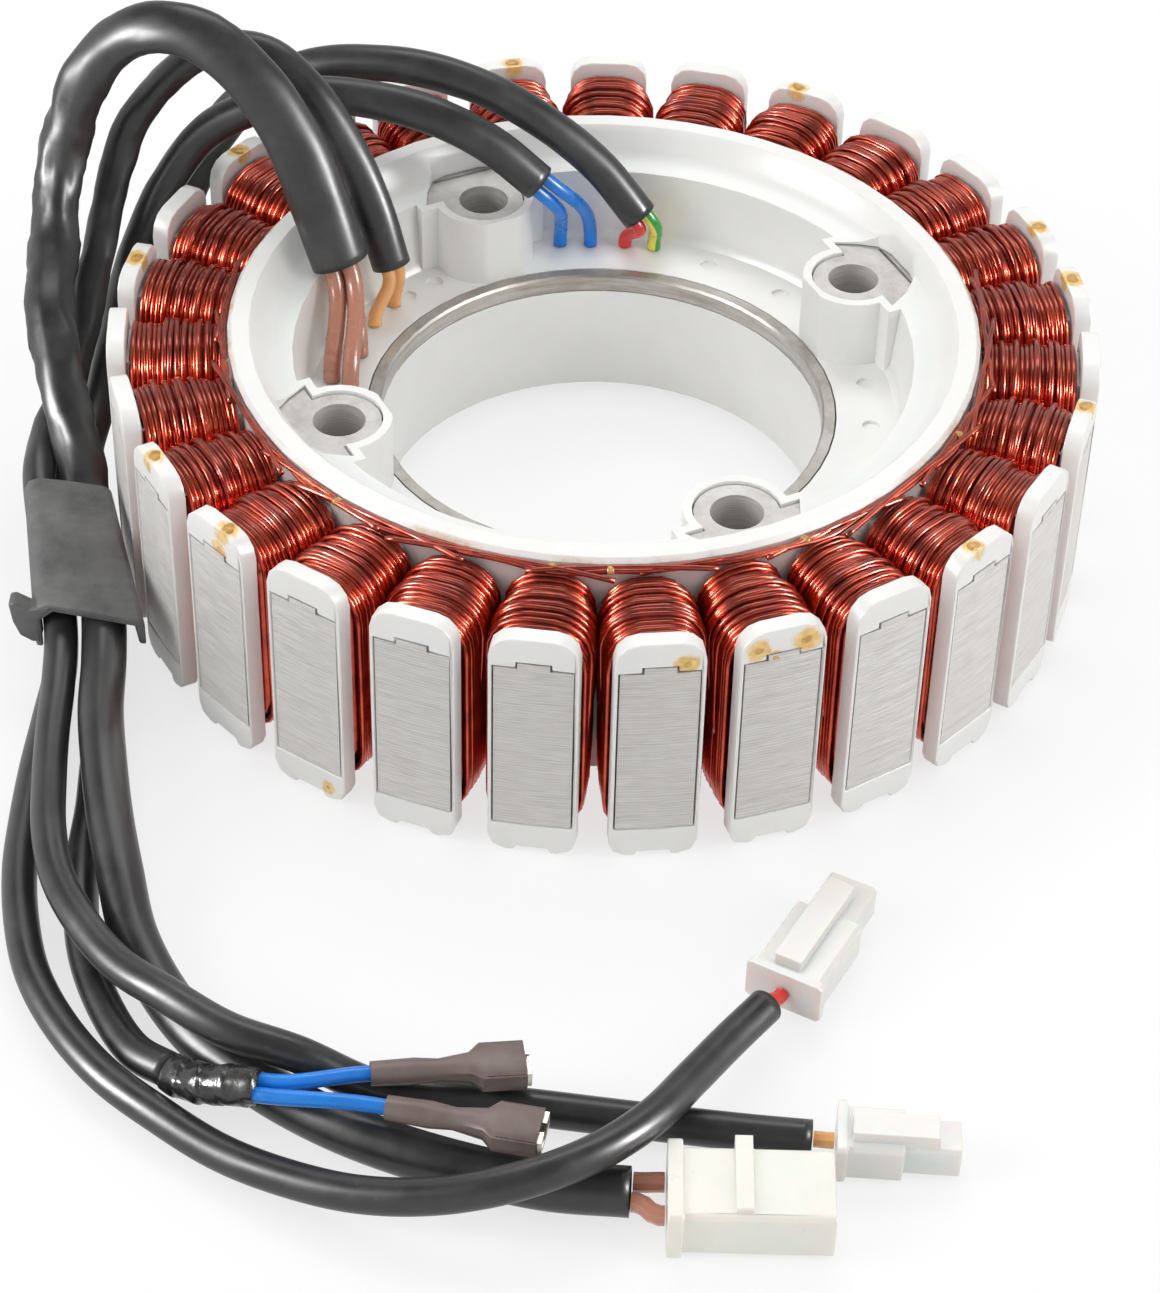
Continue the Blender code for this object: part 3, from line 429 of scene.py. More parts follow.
def sleeve_skin(node, path, table, seed):
    """Sleeve with hollow ends, in the form that the table gives at distances along it."""
    frames = facing_frames(path)
    step = path_length(path) / (len(path) - 1)
    rings = []
    for i, (spot, (wide, thin)) in enumerate(zip(path, frames)):
        run = i * step
        half_wide, half_thin, crumple = blend_table(table, run)
        ring = []
        for k in range(SLEEVE_SIDES):
            turn = 2 * math.pi * k / SLEEVE_SIDES
            c, s = math.cos(turn), math.sin(turn)
            place = Vector((run * 0.11, c * 0.9 + seed, s * 0.9))
            fold = noise.noise(place) + 0.5 * abs(noise.noise(place * 2.3 + Vector((5, 0, 0))))
            ripple = noise.noise(Vector((run * 0.045, c * 0.5 + seed * 3, s * 0.5)))
            swell = 1 + crumple * (fold - 0.25) + 0.02 * ripple
            ring.append(spot + (wide * (c * half_wide) + thin * (s * half_thin)) * swell)
        rings.append(ring)
    lip = max(2, round(SLEEVE_MOUTH / step))

    def inner(i):
        """Ring of the bore, the wall's thickness inside the outer ring."""
        spot = path[i]
        arms = [p - spot for p in rings[i]]
        return [spot + arm * (1 - SLEEVE_WALL / max(arm.length, SLEEVE_WALL * 2)) for arm in arms]

    skin = [inner(i) for i in range(lip, -1, -1)] + rings
    skin += [inner(i) for i in range(len(path) - 1, len(path) - 1 - lip, -1)]
    bm = bmesh.new()
    add_rings(bm, skin)
    return new_object(f"{node}_skin", bm, "black_vinyl", node)


# Materials


class Nodes:
    """Helper that adds and links the nodes of one tree."""

    def __init__(self, tree):
        self.tree = tree

    def node(self, kind, *inputs, **settings):
        """New node with its settings, and with its first inputs fed in their order."""
        made = self.tree.nodes.new(kind)
        for key, value in settings.items():
            setattr(made, key, value)
        for socket, value in zip(made.inputs, inputs):
            self.feed(socket, value)
        return made

    def link(self, a, b):
        self.tree.links.new(a, b)

    def feed(self, socket, value):
        if isinstance(value, bpy.types.NodeSocket):
            self.link(value, socket)
        else:
            socket.default_value = value

    def ramp(self, value, *stops):
        made = self.node("ShaderNodeValToRGB", value)
        elements = made.color_ramp.elements
        while len(elements) < len(stops):
            elements.new(0.5)
        for element, (place, colour) in zip(elements, stops):
            element.position = place
            shade = colour if isinstance(colour, tuple) else (colour,) * 3
            element.color = (*shade, 1)
        return made.outputs["Color"]

    def maths(self, operation, a, b):
        return self.node("ShaderNodeMath", a, b, operation=operation).outputs[0]

    def parts(self, vector):
        """X, Y and Z of a vector."""
        return self.node("ShaderNodeSeparateXYZ", vector).outputs

    def vectors(self, operation, *inputs):
        return self.node("ShaderNodeVectorMath", *inputs, operation=operation).outputs

    def seen_directly(self):
        """1 for what the camera, a reflection or a clear material looks at."""
        rays = self.node("ShaderNodeLightPath").outputs
        total = rays["Is Camera Ray"]
        for name in ("Is Glossy Ray", "Is Transmission Ray"):
            total = self.maths("MAXIMUM", total, rays[name])
        return total

    def show(self, factor, unseen, seen, target):
        """Show one shader to the eye and the other to the light, by a factor."""
        made = self.node("ShaderNodeMixShader", factor, unseen.outputs[0], seen.outputs[0])
        self.link(made.outputs[0], self.tree.nodes[target].inputs["Surface"])


class Finish(Nodes):
    """One Principled material, placed by the object's own coordinates."""

    def __init__(self, name, colour, roughness, metallic=0.0):
        self.name = name
        self.material = bpy.data.materials.new(name)
        self.material.use_nodes = True
        super().__init__(self.material.node_tree)
        self.shader = self.tree.nodes["Principled BSDF"]
        self.shader.inputs["Base Color"].default_value = (*colour, 1)
        self.shader.inputs["Roughness"].default_value = roughness
        self.shader.inputs["Metallic"].default_value = metallic
        self.material.diffuse_color = (*colour, 1)
        self.where = self.node("ShaderNodeTexCoord").outputs["Object"]

    def stretched(self, scale):
        mapping = self.node("ShaderNodeMapping", self.where)
        mapping.inputs["Scale"].default_value = scale
        return mapping.outputs["Vector"]

    def noise(self, scale, detail=4.0, rough=0.6, vector=None):
        made = self.node("ShaderNodeTexNoise", vector or self.where)
        made.inputs["Scale"].default_value = scale
        made.inputs["Detail"].default_value = detail
        made.inputs["Roughness"].default_value = rough
        return made.outputs["Fac"]

    def mix(self, factor, a, b, blend="MIX"):
        made = self.node("ShaderNodeMix", data_type="RGBA", blend_type=blend)
        self.feed(made.inputs[0], factor)
        self.feed(made.inputs[6], (*a, 1) if isinstance(a, tuple) else a)
        self.feed(made.inputs[7], (*b, 1) if isinstance(b, tuple) else b)
        return made.outputs[2]

    def span(self, value, low, high, out_low=0.0, out_high=1.0):
        return self.node("ShaderNodeMapRange", value, low, high, out_low, out_high).outputs[0]

    def colour(self, socket):
        self.link(socket, self.shader.inputs["Base Color"])

    def rough(self, socket):
        self.link(socket, self.shader.inputs["Roughness"])

    def bump(self, height, distance, strength=1.0, before=None):
        made = self.node("ShaderNodeBump")
        made.inputs["Strength"].default_value = strength
        made.inputs["Distance"].default_value = distance * MM
        self.link(height, made.inputs["Height"])
        if before is not None:
            self.link(before, made.inputs["Normal"])
        self.link(made.outputs["Normal"], self.shader.inputs["Normal"])
        return made.outputs["Normal"]

    def near(self, spots, wobble):
        """Mask that is 1 within each spot's radius, with an uneven edge."""
        total = None
        for centre, radius in spots:
            away = self.vectors("DISTANCE", self.where, centre * MM)["Value"]
            shifted = self.maths("ADD", away, wobble)
            inside = self.span(shifted, radius * MM * 0.75, radius * MM * 1.1, 1.0, 0.0)
            total = inside if total is None else self.maths("MAXIMUM", total, inside)
        return total


def set_inputs(finish, **values):
    for name, value in values.items():
        finish.shader.inputs[name.replace("_", " ")].default_value = value


def mottled(name, colour, roughness, cloud, stops, wear, gloss, grain=None, metallic=0.0):
    """Material of two tones with uneven gloss and fine relief, each from a noise of its own."""
    made = Finish(name, colour, roughness, metallic)
    made.colour(made.ramp(made.noise(*cloud), *stops))
    made.rough(made.span(made.noise(*wear), 0.3, 0.7, *gloss))
    if grain:
        texture, distance, strength = grain
        made.bump(made.noise(*texture), distance, strength)
    return made


def plastic(name, colour, roughness, spread=0.12):
    """Moulded or extruded plastic with slight tone changes and fine surface texture."""
    dark = tuple(c * (1 - spread) for c in colour)
    light = tuple(min(c * (1 + spread), 1.0) for c in colour)
    stops = ((0.3, dark), (0.7, light))
    gloss, grain = (roughness * 0.8, min(roughness * 1.25, 1)), ((900.0, 3.0), 0.02, 0.5)
    return mottled(name, colour, roughness, (60.0, 5.0), stops, (220.0, 4.0), gloss, grain)


def on_flange(number, along, reach, height):
    """Point in front of a tooth's flange, at a radius and a height."""
    azimuth = tooth_azimuth(number)
    return tangential(azimuth) * along + radial(azimuth) * reach + UP * height


def varnish_spots():
    """Where varnish has stained the moulding, in millimetres, with each stain's radius."""
    return [
        (on_flange(number, along, FLANGE_FACE - inwards, height), radius + STAIN_MARGIN)
        for number, along, height, radius, inwards in DROPS
    ]


def moulding():
    made = Finish("white_moulding", (0.84, 0.84, 0.82), 0.36)
    cloud = made.noise(35.0, 5.0)
    base = made.ramp(cloud, (0.25, (0.8, 0.795, 0.77)), (0.75, (0.87, 0.87, 0.855)))
    wobble = made.maths("MULTIPLY", made.maths("SUBTRACT", made.noise(500.0, 3.0), 0.5), 0.0022)
    stained = made.near(varnish_spots(), wobble)
    tone = made.ramp(made.noise(700.0, 3.0), (0.3, (0.72, 0.42, 0.1)), (0.7, (0.9, 0.68, 0.32)))
    base = made.mix(stained, base, tone)
    # Brown line of varnish along the top edge of the rim
    x, y, z = made.parts(made.where)
    away = made.vectors("LENGTH", made.node("ShaderNodeCombineXYZ", x, y).outputs[0])["Value"]
    outer = made.span(away, (HUB_RADIUS - 1.1) * MM, (HUB_RADIUS - 0.4) * MM)
    past = made.span(away, (HUB_RADIUS + 0.3) * MM, (HUB_RADIUS + 0.6) * MM, 1.0, 0.0)
    high = made.span(z, 46.4 * MM, 47.2 * MM)
    patch = made.span(made.noise(45.0, 6.0, 0.7), 0.47, 0.62)
    band = made.maths("MULTIPLY", outer, past)
    edge = made.maths("MULTIPLY", band, made.maths("MULTIPLY", high, patch))
    base = made.mix(made.maths("MULTIPLY", edge, 0.75), base, (0.62, 0.36, 0.13))
    made.colour(base)
    made.rough(made.span(made.maths("MAXIMUM", stained, edge), 0.0, 1.0, 0.38, 0.16))
    made.bump(made.noise(600.0, 4.0), 0.03, 0.4)
    set_inputs(made, Subsurface_Weight=0.12, Subsurface_Scale=0.002)
    return made


def lamination():
    made = Finish("lamination_steel", (0.68, 0.66, 0.635), 0.5, 0.4)
    bands = {"wave_type": "BANDS", "bands_direction": "Z", "wave_profile": "SIN"}
    sheets = made.node("ShaderNodeTexWave", made.where, **bands)
    sheets.inputs["Scale"].default_value = 520.0
    sheets.inputs["Distortion"].default_value = 0.9
    sheets.inputs["Detail"].default_value = 3.0
    streak = made.noise(90.0, 6.0, 0.75, made.stretched((1.0, 1.0, 60.0)))
    burr = made.noise(260.0, 5.0, 0.7, made.stretched((1.0, 1.0, 9.0)))
    dark, middle, light = (0.46, 0.44, 0.415), (0.62, 0.6, 0.575), (0.74, 0.725, 0.7)
    tone = made.ramp(streak, (0.28, dark), (0.5, middle), (0.75, light))
    lined = made.mix(0.3, tone, made.ramp(sheets.outputs["Fac"], (0.1, 0.42), (0.55, 0.72)), "MULTIPLY")
    made.colour(made.mix(0.25, lined, made.ramp(burr, (0.35, 0.45), (0.65, 0.8)), "OVERLAY"))
    made.rough(made.span(burr, 0.3, 0.7, 0.42, 0.62))
    first = made.bump(sheets.outputs["Fac"], 0.05, 0.35)
    made.bump(streak, 0.06, 0.3, first)
    return made


def turned_ring():
    made = Finish("ring_steel", (0.5, 0.48, 0.45), 0.35, 0.85)
    wear = made.noise(40.0, 6.0, 0.7)
    streak = made.noise(70.0, 6.0, 0.7, made.stretched((1.0, 1.0, 20.0)))
    dark, middle, light = (0.3, 0.28, 0.25), (0.52, 0.5, 0.47), (0.66, 0.65, 0.62)
    tone = made.ramp(streak, (0.3, dark), (0.55, middle), (0.8, light))
    made.colour(made.mix(made.span(wear, 0.45, 0.75, 0.0, 0.6), tone, (0.26, 0.22, 0.17)))
    made.rough(made.span(wear, 0.3, 0.7, 0.28, 0.5))
    made.bump(streak, 0.04, 0.4)
    return made


def enamel():
    made = Finish("enamelled_copper", (0.42, 0.036, 0.014), 0.22, 0.85)
    cloud = made.noise(140.0, 4.0, 0.65)
    fine = made.noise(900.0, 3.0, 0.6)
    dark, middle, light = (0.26, 0.02, 0.009), (0.52, 0.048, 0.018), (0.76, 0.12, 0.045)
    tone = made.ramp(cloud, (0.3, dark), (0.5, middle), (0.72, light))
    # Painted reflection: the crowns of the windings are painted a dull mauve brown, in place of the dark
    # overhead that the wires mirror
    height = made.parts(made.where)[2]
    crown = made.maths("MULTIPLY", made.span(height, 42.8 * MM, 45.2 * MM), 0.7)
    painted_crown_reflection = made.maths("MULTIPLY", crown, made.span(fine, 0.3, 0.7, 0.5, 1.0))
    made.colour(made.mix(painted_crown_reflection, tone, (0.13, 0.042, 0.033)))
    gloss = made.span(cloud, 0.3, 0.7, 0.16, 0.26)
    made.rough(made.maths("ADD", gloss, made.maths("MULTIPLY", crown, 0.2)))
    made.bump(fine, 0.004, 0.3)
    set_inputs(made, Coat_Weight=0.55, Coat_Roughness=0.09)
    return made


def rubber():
    made = Finish("clip_rubber", (0.085, 0.085, 0.085), 0.62)
    mottle = made.noise(130.0, 6.0, 0.7)
    brushed = made.noise(60.0, 5.0, 0.7, made.stretched((1.0, 3.0, 3.0)))
    tone = made.ramp(mottle, (0.3, (0.055, 0.055, 0.055)), (0.7, (0.125, 0.125, 0.122)))
    made.colour(made.mix(made.span(brushed, 0.5, 0.75, 0.0, 0.35), tone, (0.2, 0.195, 0.185)))
    made.rough(made.span(mottle, 0.3, 0.7, 0.5, 0.75))
    made.bump(made.noise(700.0, 5.0, 0.7), 0.06, 0.5)
    return made


def vinyl():
    made = Finish("black_vinyl", (0.03, 0.03, 0.031), 0.34)
    dust = made.noise(85.0, 6.0, 0.7)
    scuff = made.noise(900.0, 4.0, 0.6)
    dark, middle, light = (0.02, 0.02, 0.021), (0.034, 0.034, 0.034), (0.062, 0.06, 0.057)
    tone = made.ramp(dust, (0.35, dark), (0.6, middle), (0.8, light))
    made.colour(made.mix(made.span(scuff, 0.66, 0.76, 0.0, 0.25), tone, (0.16, 0.155, 0.15)))
    made.rough(made.span(dust, 0.3, 0.75, 0.27, 0.46))
    made.bump(made.noise(320.0, 5.0, 0.6), 0.05, 0.45)
    return made


def taped():
    made = Finish("black_tape", (0.018, 0.018, 0.019), 0.2)
    crease = made.noise(240.0, 5.0, 0.65, made.stretched((1.0, 0.6, 1.0)))
    # Painted shade: the colour follows the crease relief, darker in its low folds and lighter on its
    # raised ones
    made.colour(made.ramp(crease, (0.3, (0.012, 0.012, 0.013)), (0.75, (0.05, 0.048, 0.045))))
    made.rough(made.span(crease, 0.3, 0.7, 0.14, 0.34))
    made.bump(crease, 0.35, 0.7)
    return made


def nylon(name, colour, roughness, glow):
    stops = ((0.25, tuple(c * 0.93 for c in colour)), (0.75, colour))
    gloss, grain = (roughness * 0.8, roughness * 1.2), ((500.0, 3.0), 0.03, 0.4)
    made = mottled(name, colour, roughness, (70.0, 4.0), stops, (260.0, 3.0), gloss, grain)
    set_inputs(made, Subsurface_Weight=glow, Subsurface_Scale=0.004, IOR=1.5)
    return made


def varnish():
    stops = ((0.3, (0.66, 0.33, 0.06)), (0.7, (0.9, 0.62, 0.22)))
    colour, wear, gloss = (0.8, 0.46, 0.1), (400.0, 3.0), (0.08, 0.2)
    made = mottled("varnish", colour, 0.12, (500.0, 3.0), stops, wear, gloss)
    set_inputs(made, Transmission_Weight=0.35, IOR=1.5)
    return made


def striped_lead():
    """Green insulation with a yellow stripe on two sides, where the mesh is marked."""
    made = Finish("green_yellow_lead", (0.06, 0.42, 0.06), 0.3)
    stripe = made.node("ShaderNodeAttribute", attribute_name="stripe")
    edge = made.span(stripe.outputs["Fac"], 0.45, 0.55)
    green = made.ramp(made.noise(200.0, 3.0), (0.3, (0.02, 0.26, 0.04)), (0.7, (0.04, 0.4, 0.08)))
    made.colour(made.mix(edge, green, (0.86, 0.78, 0.08)))
    made.rough(made.span(made.noise(300.0, 3.0), 0.3, 0.7, 0.24, 0.38))
    made.bump(made.noise(600.0, 3.0), 0.02, 0.4)
    return made


FINISHES = (
    lamination(), moulding(), turned_ring(), enamel(), rubber(), vinyl(),
    plastic("brown_lead", (0.5, 0.215, 0.145), 0.26, 0.14),
    plastic("orange_lead", (0.93, 0.45, 0.17), 0.3),
    plastic("blue_lead", (0.005, 0.2, 0.7), 0.3, 0.15),
    plastic("red_lead", (0.78, 0.045, 0.03), 0.32),
    striped_lead(), taped(),
    mottled(
        "brown_shrink_sleeve", (0.16, 0.115, 0.105), 0.42, (120.0, 5.0),
        ((0.3, (0.12, 0.082, 0.075)), (0.7, (0.2, 0.15, 0.135))),
        (400.0, 3.0), (0.34, 0.52), ((480.0, 5.0, 0.65), 0.06, 0.5),
    ),
    mottled(
        "tinned_blade", (0.72, 0.69, 0.62), 0.26, (300.0, 5.0),
        ((0.3, (0.48, 0.42, 0.33)), (0.7, (0.8, 0.78, 0.73))),
        (700.0, 3.0), (0.18, 0.4), ((500.0, 4.0), 0.03, 0.5), 1.0,
    ),
    nylon("ivory_nylon", (0.84, 0.83, 0.765), 0.34, 0.4),
    nylon("clear_nylon", (0.78, 0.785, 0.755), 0.22, 0.5),
)
FINISH = {made.name: made.material for made in FINISHES}
VARNISH = varnish().material


# Camera


def photo_camera():
    tilt, roll = math.radians(CAMERA_ELEVATION), math.radians(CAMERA_ROLL)
    back = Vector((0, -math.cos(tilt), math.sin(tilt)))
    right, up = Vector((1, 0, 0)), Vector((0, math.sin(tilt), math.cos(tilt)))
    across = right * math.cos(roll) + up * math.sin(roll)
    over = up * math.cos(roll) - right * math.sin(roll)
    data = bpy.data.cameras.new("camera")
    data.lens = CAMERA_LENS
    data.sensor_width = SENSOR_WIDTH
    camera = linked("camera", data)
    place = Matrix((across, over, back)).transposed().to_4x4()
    place.translation = (Vector(CAMERA_AIM) + back * CAMERA_DISTANCE) * MM
    camera.matrix_world = place
    bpy.context.scene.camera = camera


# Cords


def lead(node, spot, outwards, root, diameter, slot):
    """One insulated lead from the hub floor up and into its sleeve's mouth."""
    foot = Vector((*root, FLOOR_LEVEL + GAP))
    path = bridge(foot, UP, spot, -outwards)
    path.append(spot - outwards * LEAD_TUCK)
    return wire_object(node, path, diameter, slot)


def lead_pair(leads, route):
    mouth = Vector(route[0])
    outwards = (mouth - Vector(route[1])).normalized()
    first, second = leads[0][2], leads[1][2]
    apart = Vector((second[0] - first[0], second[1] - first[1], 0))
    across = (apart - outwards * apart.dot(outwards)).normalized()
    made = []
    for (name, slot, root), side in zip(leads, (-1, 1)):
        spot = mouth + outwards * GAP + across * side * LEAD_SPREAD
        made.append(lead(name, spot, outwards, root, LEAD_DIAMETER, slot))
    return made


def brown_leads():
    mouth = Vector(MAIN_ROUTE[0])
    outwards = (mouth - Vector(MAIN_ROUTE[1])).normalized()
    across = outwards.cross(UP).normalized()
    over = across.cross(outwards)
    ring = (BROWN_DIAMETER + GAP) / math.sqrt(3)
    made = []
    for i, (turn, root) in enumerate(zip(BROWN_TURNS, BROWN_ROOTS), start=1):
        angle = math.radians(turn)
        spot = mouth + outwards * GAP + (across * math.cos(angle) + over * math.sin(angle)) * ring
        made.append(lead(f"lead_brown_{i}", spot, outwards, root, BROWN_DIAMETER, "brown_lead"))
    return made


def blue_tails():
    along = Vector(TAPE_HEADING).normalized()
    across = along.cross(UP).normalized()
    made = []
    for number, (shift, ends) in enumerate(zip((-LEAD_SPREAD, LEAD_SPREAD), RECEPTACLES), start=1):
        begin = Vector(TAPE_END) + along * GAP + across * shift
        ahead = (Vector(ends[1]) - Vector(ends[0])).normalized()
        path = bridge(begin, along, Vector(ends[0]) - ahead * GAP, ahead)
        path = [path[0] - along * 3] + path + [path[-1] + ahead * 3]
        made.append(wire_object(f"tail_blue_{number}", path, LEAD_DIAMETER, "blue_lead"))
    return made


def tape():
    """Wound tape over the sleeve's end: overlapping turns show as low ridges."""
    start = Vector(BLUE_ROUTE[-1])
    ahead = (start - Vector(BLUE_ROUTE[-2])).normalized()
    points = bridge(start + ahead * GAP, ahead, Vector(TAPE_END), Vector(TAPE_HEADING).normalized())
    path = smooth_path(points, 0.35)
    frames = carried_frames(path)
    total = path_length(path)
    rings = []
    for i, (spot, (across, over)) in enumerate(zip(path, frames)):
        run = total * i / (len(path) - 1)
        ring = []
        for k in range(TAPE_SIDES):
            turn = 2 * math.pi * k / TAPE_SIDES
            lap = ((run + TAPE_LAP / 2 * k / TAPE_SIDES) / TAPE_LAP) % 1.0
            radius = TAPE_DIAMETER / 2 * (0.86 + 0.1 * lap)
            place = Vector((run * 0.5, math.cos(turn) * 1.6, math.sin(turn) * 1.6))
            radius += 0.3 * noise.noise(place)
            radius *= 1 - 0.1 * min(max((run - total + 5) / 5, 0), 1)
            ring.append(spot + (across * math.cos(turn) + over * math.sin(turn)) * radius)
        rings.append(ring)
    bm = bmesh.new()
    add_rings(bm, rings)
    return new_object("tape_wrap_skin", bm, "black_tape", "tape_wrap")


def cords():
    """The four sleeves with their leads, tape, tails and hood."""
    paths = [smooth_path(row[1], SLEEVE_SPACING) for row in SLEEVES]
    skins = [sleeve_skin(f"sleeve_{row[0]}", path, *row[2:4]) for row, path in zip(SLEEVES, paths)]
    browns = brown_leads()
    oranges = lead_pair(ORANGE_LEADS, ORANGE_ROUTE)
    blues = lead_pair(BLUE_LEADS, BLUE_ROUTE)
    reds = lead_pair(RED_LEADS, RED_ROUTE)
    paint_stripe(reds[1])
    blues += [tape()] + blue_tails()
    extras = (browns + [hood()], oranges, blues, reds)


def paint_stripe(obj):
    """Mark the two sides of a lead that carry its stripe."""
    mesh = obj.data
    marks = mesh.attributes.new("stripe", "FLOAT", "POINT")
    half, quarter = LEAD_SIDES // 2, LEAD_SIDES // 4
    for i in range(len(mesh.vertices)):
        marks.data[i].value = 1.0 if i % half < quarter else 0.0


# Windings


def arch_point(share, half, low, high, corner):
    """Point at a share of the way round an upright loop with round corners, from its foot."""
    flat, side = 2 * (half - corner), high - low - 2 * corner
    bend = math.pi / 2 * corner
    at = (share % 1.0) * (2 * flat + 2 * side + 4 * bend)
    for kind, run in enumerate((flat / 2, bend, side, bend, flat, bend, side, bend, flat / 2)):
        if at <= run or kind == 8:
            break
        at -= run
    turn = at / corner
    s, c = math.sin(turn), math.cos(turn)
    inner = half - corner
    return (
        (at, low), (inner + corner * s, low + corner - corner * c), (half, low + corner + at),
        (inner + corner * c, high - corner + corner * s), (inner - at, high),
        (-inner - corner * s, high - corner + corner * c), (-half, high - corner - at),
        (-inner - corner * c, low + corner - corner * s), (at - inner, low),
    )[kind]


def arch_ring(loop, out):
    points = [arch_point(i / LOOP_POINTS, *loop) for i in range(LOOP_POINTS)]
    return [Vector((x, out, z)) for x, z in points]


def winding(seed):
    """Wound turns in the tooth's own frame, on a closed core that fills the space behind them."""
    chance = random.Random(seed)
    start, end = HUB_RADIUS + GAP + WIRE / 2, FLANGE_BACK - GAP - WIRE / 2
    bm = bmesh.new()
    strays = [[chance.uniform(*span) for _ in range(TURNS + 2)] for span in TURN_STRAYS]

    def layer_point(turns, offset):
        """Point on the outer layer, the offset outside it."""
        turn = int(turns)
        t = turns - turn
        ease = t * t * (3 - 2 * t)
        at = min(turn, TURNS)
        following = min(turn + 1, TURNS + 1)
        rise, sway, swell = (row[at] + (row[following] - row[at]) * ease for row in strays)
        share = turns / TURNS
        half = COIL_WIDTH / 2 - WIRE / 2 + 0.05 + 0.8 * min(share * 1.8, 1.0) + swell + offset
        x, z = arch_point(t, half, COIL_FOOT - offset, COIL_TOP + rise + offset, COIL_CORNER + offset)
        out = start + (end - start) * share + sway * math.sin(2 * math.pi * t)
        return Vector((x, min(max(out, start - 0.1), end + 0.1), z))

    path = [layer_point(i / TURN_POINTS, 0.0) for i in range(TURNS * TURN_POINTS + 1)]
    add_wire(bm, path, WIRE / 2 * 1.02)
    for _ in range(WINDING_STRAYS):
        middle = chance.uniform(2.5, TURNS - 2.5)
        slant = chance.uniform(-3.0, 3.0)
        reach = chance.uniform(0.16, 0.3)
        stray = []
        for i in range(STRAY_POINTS + 1):
            t = i / STRAY_POINTS
            share = 0.5 + (t - 0.5) * 2 * reach
            blend = math.sin(math.pi * t) ** 0.45
            spot = layer_point(int(middle) + share, 0.86 * blend - 0.05)
            spot.y = start + (end - start) * (middle + slant * (t - 0.5)) / TURNS
            spot.y = min(max(spot.y, start + 0.2), end - 0.2)
            stray.append(spot)
        add_wire(bm, stray, WIRE / 2)
    core = [arch_ring(CORE_LOOP, out) for out in (start - GAP, end + GAP)]
    hollow = [arch_ring(HOLLOW_LOOP, out) for out in (end + GAP, start - GAP)]
    add_rings(bm, core + hollow + core[:1], (False, False))
    bmesh.ops.remove_doubles(bm, verts=bm.verts, dist=JOIN_DISTANCE)
    mesh = mesh_from(f"winding_{seed}", bm)
    mesh.materials.append(FINISH["enamelled_copper"])
    return mesh


def windings():
    meshes = [winding(seed) for seed in range(WINDING_VARIANTS)]
    order = random.Random(4)
    last = -1
    for number in range(TEETH):
        last = order.choice([i for i in range(WINDING_VARIANTS) if i != last])
        node = f"coil_{number + 1:02d}"
        where = tooth_matrix(number)
        place_object(f"{node}_winding", meshes[last], (node,), where)


def crossover_path(chance, middle, reach, radius, level):
    """A taut wire that touches the hub at one azimuth and runs off it straight on both sides."""
    out, along = radial(middle), tangential(middle)
    spots = []
    for i in range(CROSSING_POINTS + 1):
        t = (i / CROSSING_POINTS - 0.5) * 2
        away = math.tan(math.radians(reach)) * radius * t
        sag = -0.5 * abs(t) ** 3
        wave = 0.12 * chance.uniform(-1, 1)
        spots.append(out * (radius + wave) + along * away + UP * (level + sag + wave))
    return spots


def crossovers():
    """Two wires that sway along the rim, and taut ones that cross between the coils."""
    chance = random.Random(9)
    low = OVERALL_HEIGHT - 2 + GAP
    bm = bmesh.new()
    for first, last, radius, level in RIM_WIRES:
        steps = round((last - first) / 1.5)
        beat = chance.uniform(0, 6)
        path = []
        for i in range(steps + 1):
            azimuth = first + (last - first) * i / steps
            sway = 0.45 * math.sin(azimuth * 0.19 + beat) + 0.25 * math.sin(azimuth * 0.47 + beat * 2)
            rise = 0.22 * math.sin(azimuth * 0.31 + beat * 3)
            out = radial(azimuth) * max(radius + sway, HUB_RADIUS + 0.7)
            path.append(out + UP * max(level + rise, low))
        add_wire(bm, path, WIRE / 2)
    for middle in CROSSINGS:
        reach = chance.uniform(9, 17)
        azimuth = middle + chance.uniform(-3, 3)
        level = chance.uniform(46.9, 47.3)
        path = crossover_path(chance, azimuth, reach, CROSSING_RADIUS, level)
        add_wire(bm, path, WIRE / 2)
    new_object("crossover_wires", bm, "enamelled_copper", "crossover_wire_1", "crossover_wire_2")


def drops():
    """Raised drops of varnish on the flanges and on the crossing wires."""
    chance = random.Random(3)
    bm = bmesh.new()

    def add_drop(centre, normal, radius, height):
        aside = normal.orthogonal().normalized()
        other = normal.cross(aside)
        phase = chance.uniform(0, 6)
        rings = []
        for lift, share in DROP_RINGS:
            ring = []
            for k in range(DROP_SIDES):
                turn = 2 * math.pi * k / DROP_SIDES
                wobble = 1 + 0.16 * math.sin(2 * turn + phase) + 0.09 * math.sin(3 * turn + phase * 2)
                flat = (aside * math.cos(turn) + other * math.sin(turn)) * radius * share * wobble
                ring.append(centre + flat + normal * height * lift)
            rings.append(ring)
        add_rings(bm, rings)

    for number, along, height, radius, inwards in DROPS:
        if inwards:
            spot = on_flange(number, along, FLANGE_FACE - inwards, OVERALL_HEIGHT)
            add_drop(spot, UP, min(radius, 1.5) * 0.8, -0.15)
        else:
            spot = on_flange(number, along, FLANGE_FACE - 0.15, height)
            add_drop(spot, radial(tooth_azimuth(number)), radius * 0.8, 0.2)
    for azimuth in WIRE_DROPS:
        add_drop(radial(azimuth) * WIRE_DROP_RADIUS + UP * WIRE_DROP_LEVEL, UP, 0.9, 0.8)
    new_object("varnish_drops", bm, "white_moulding", finish=VARNISH)


# Solids that are kept


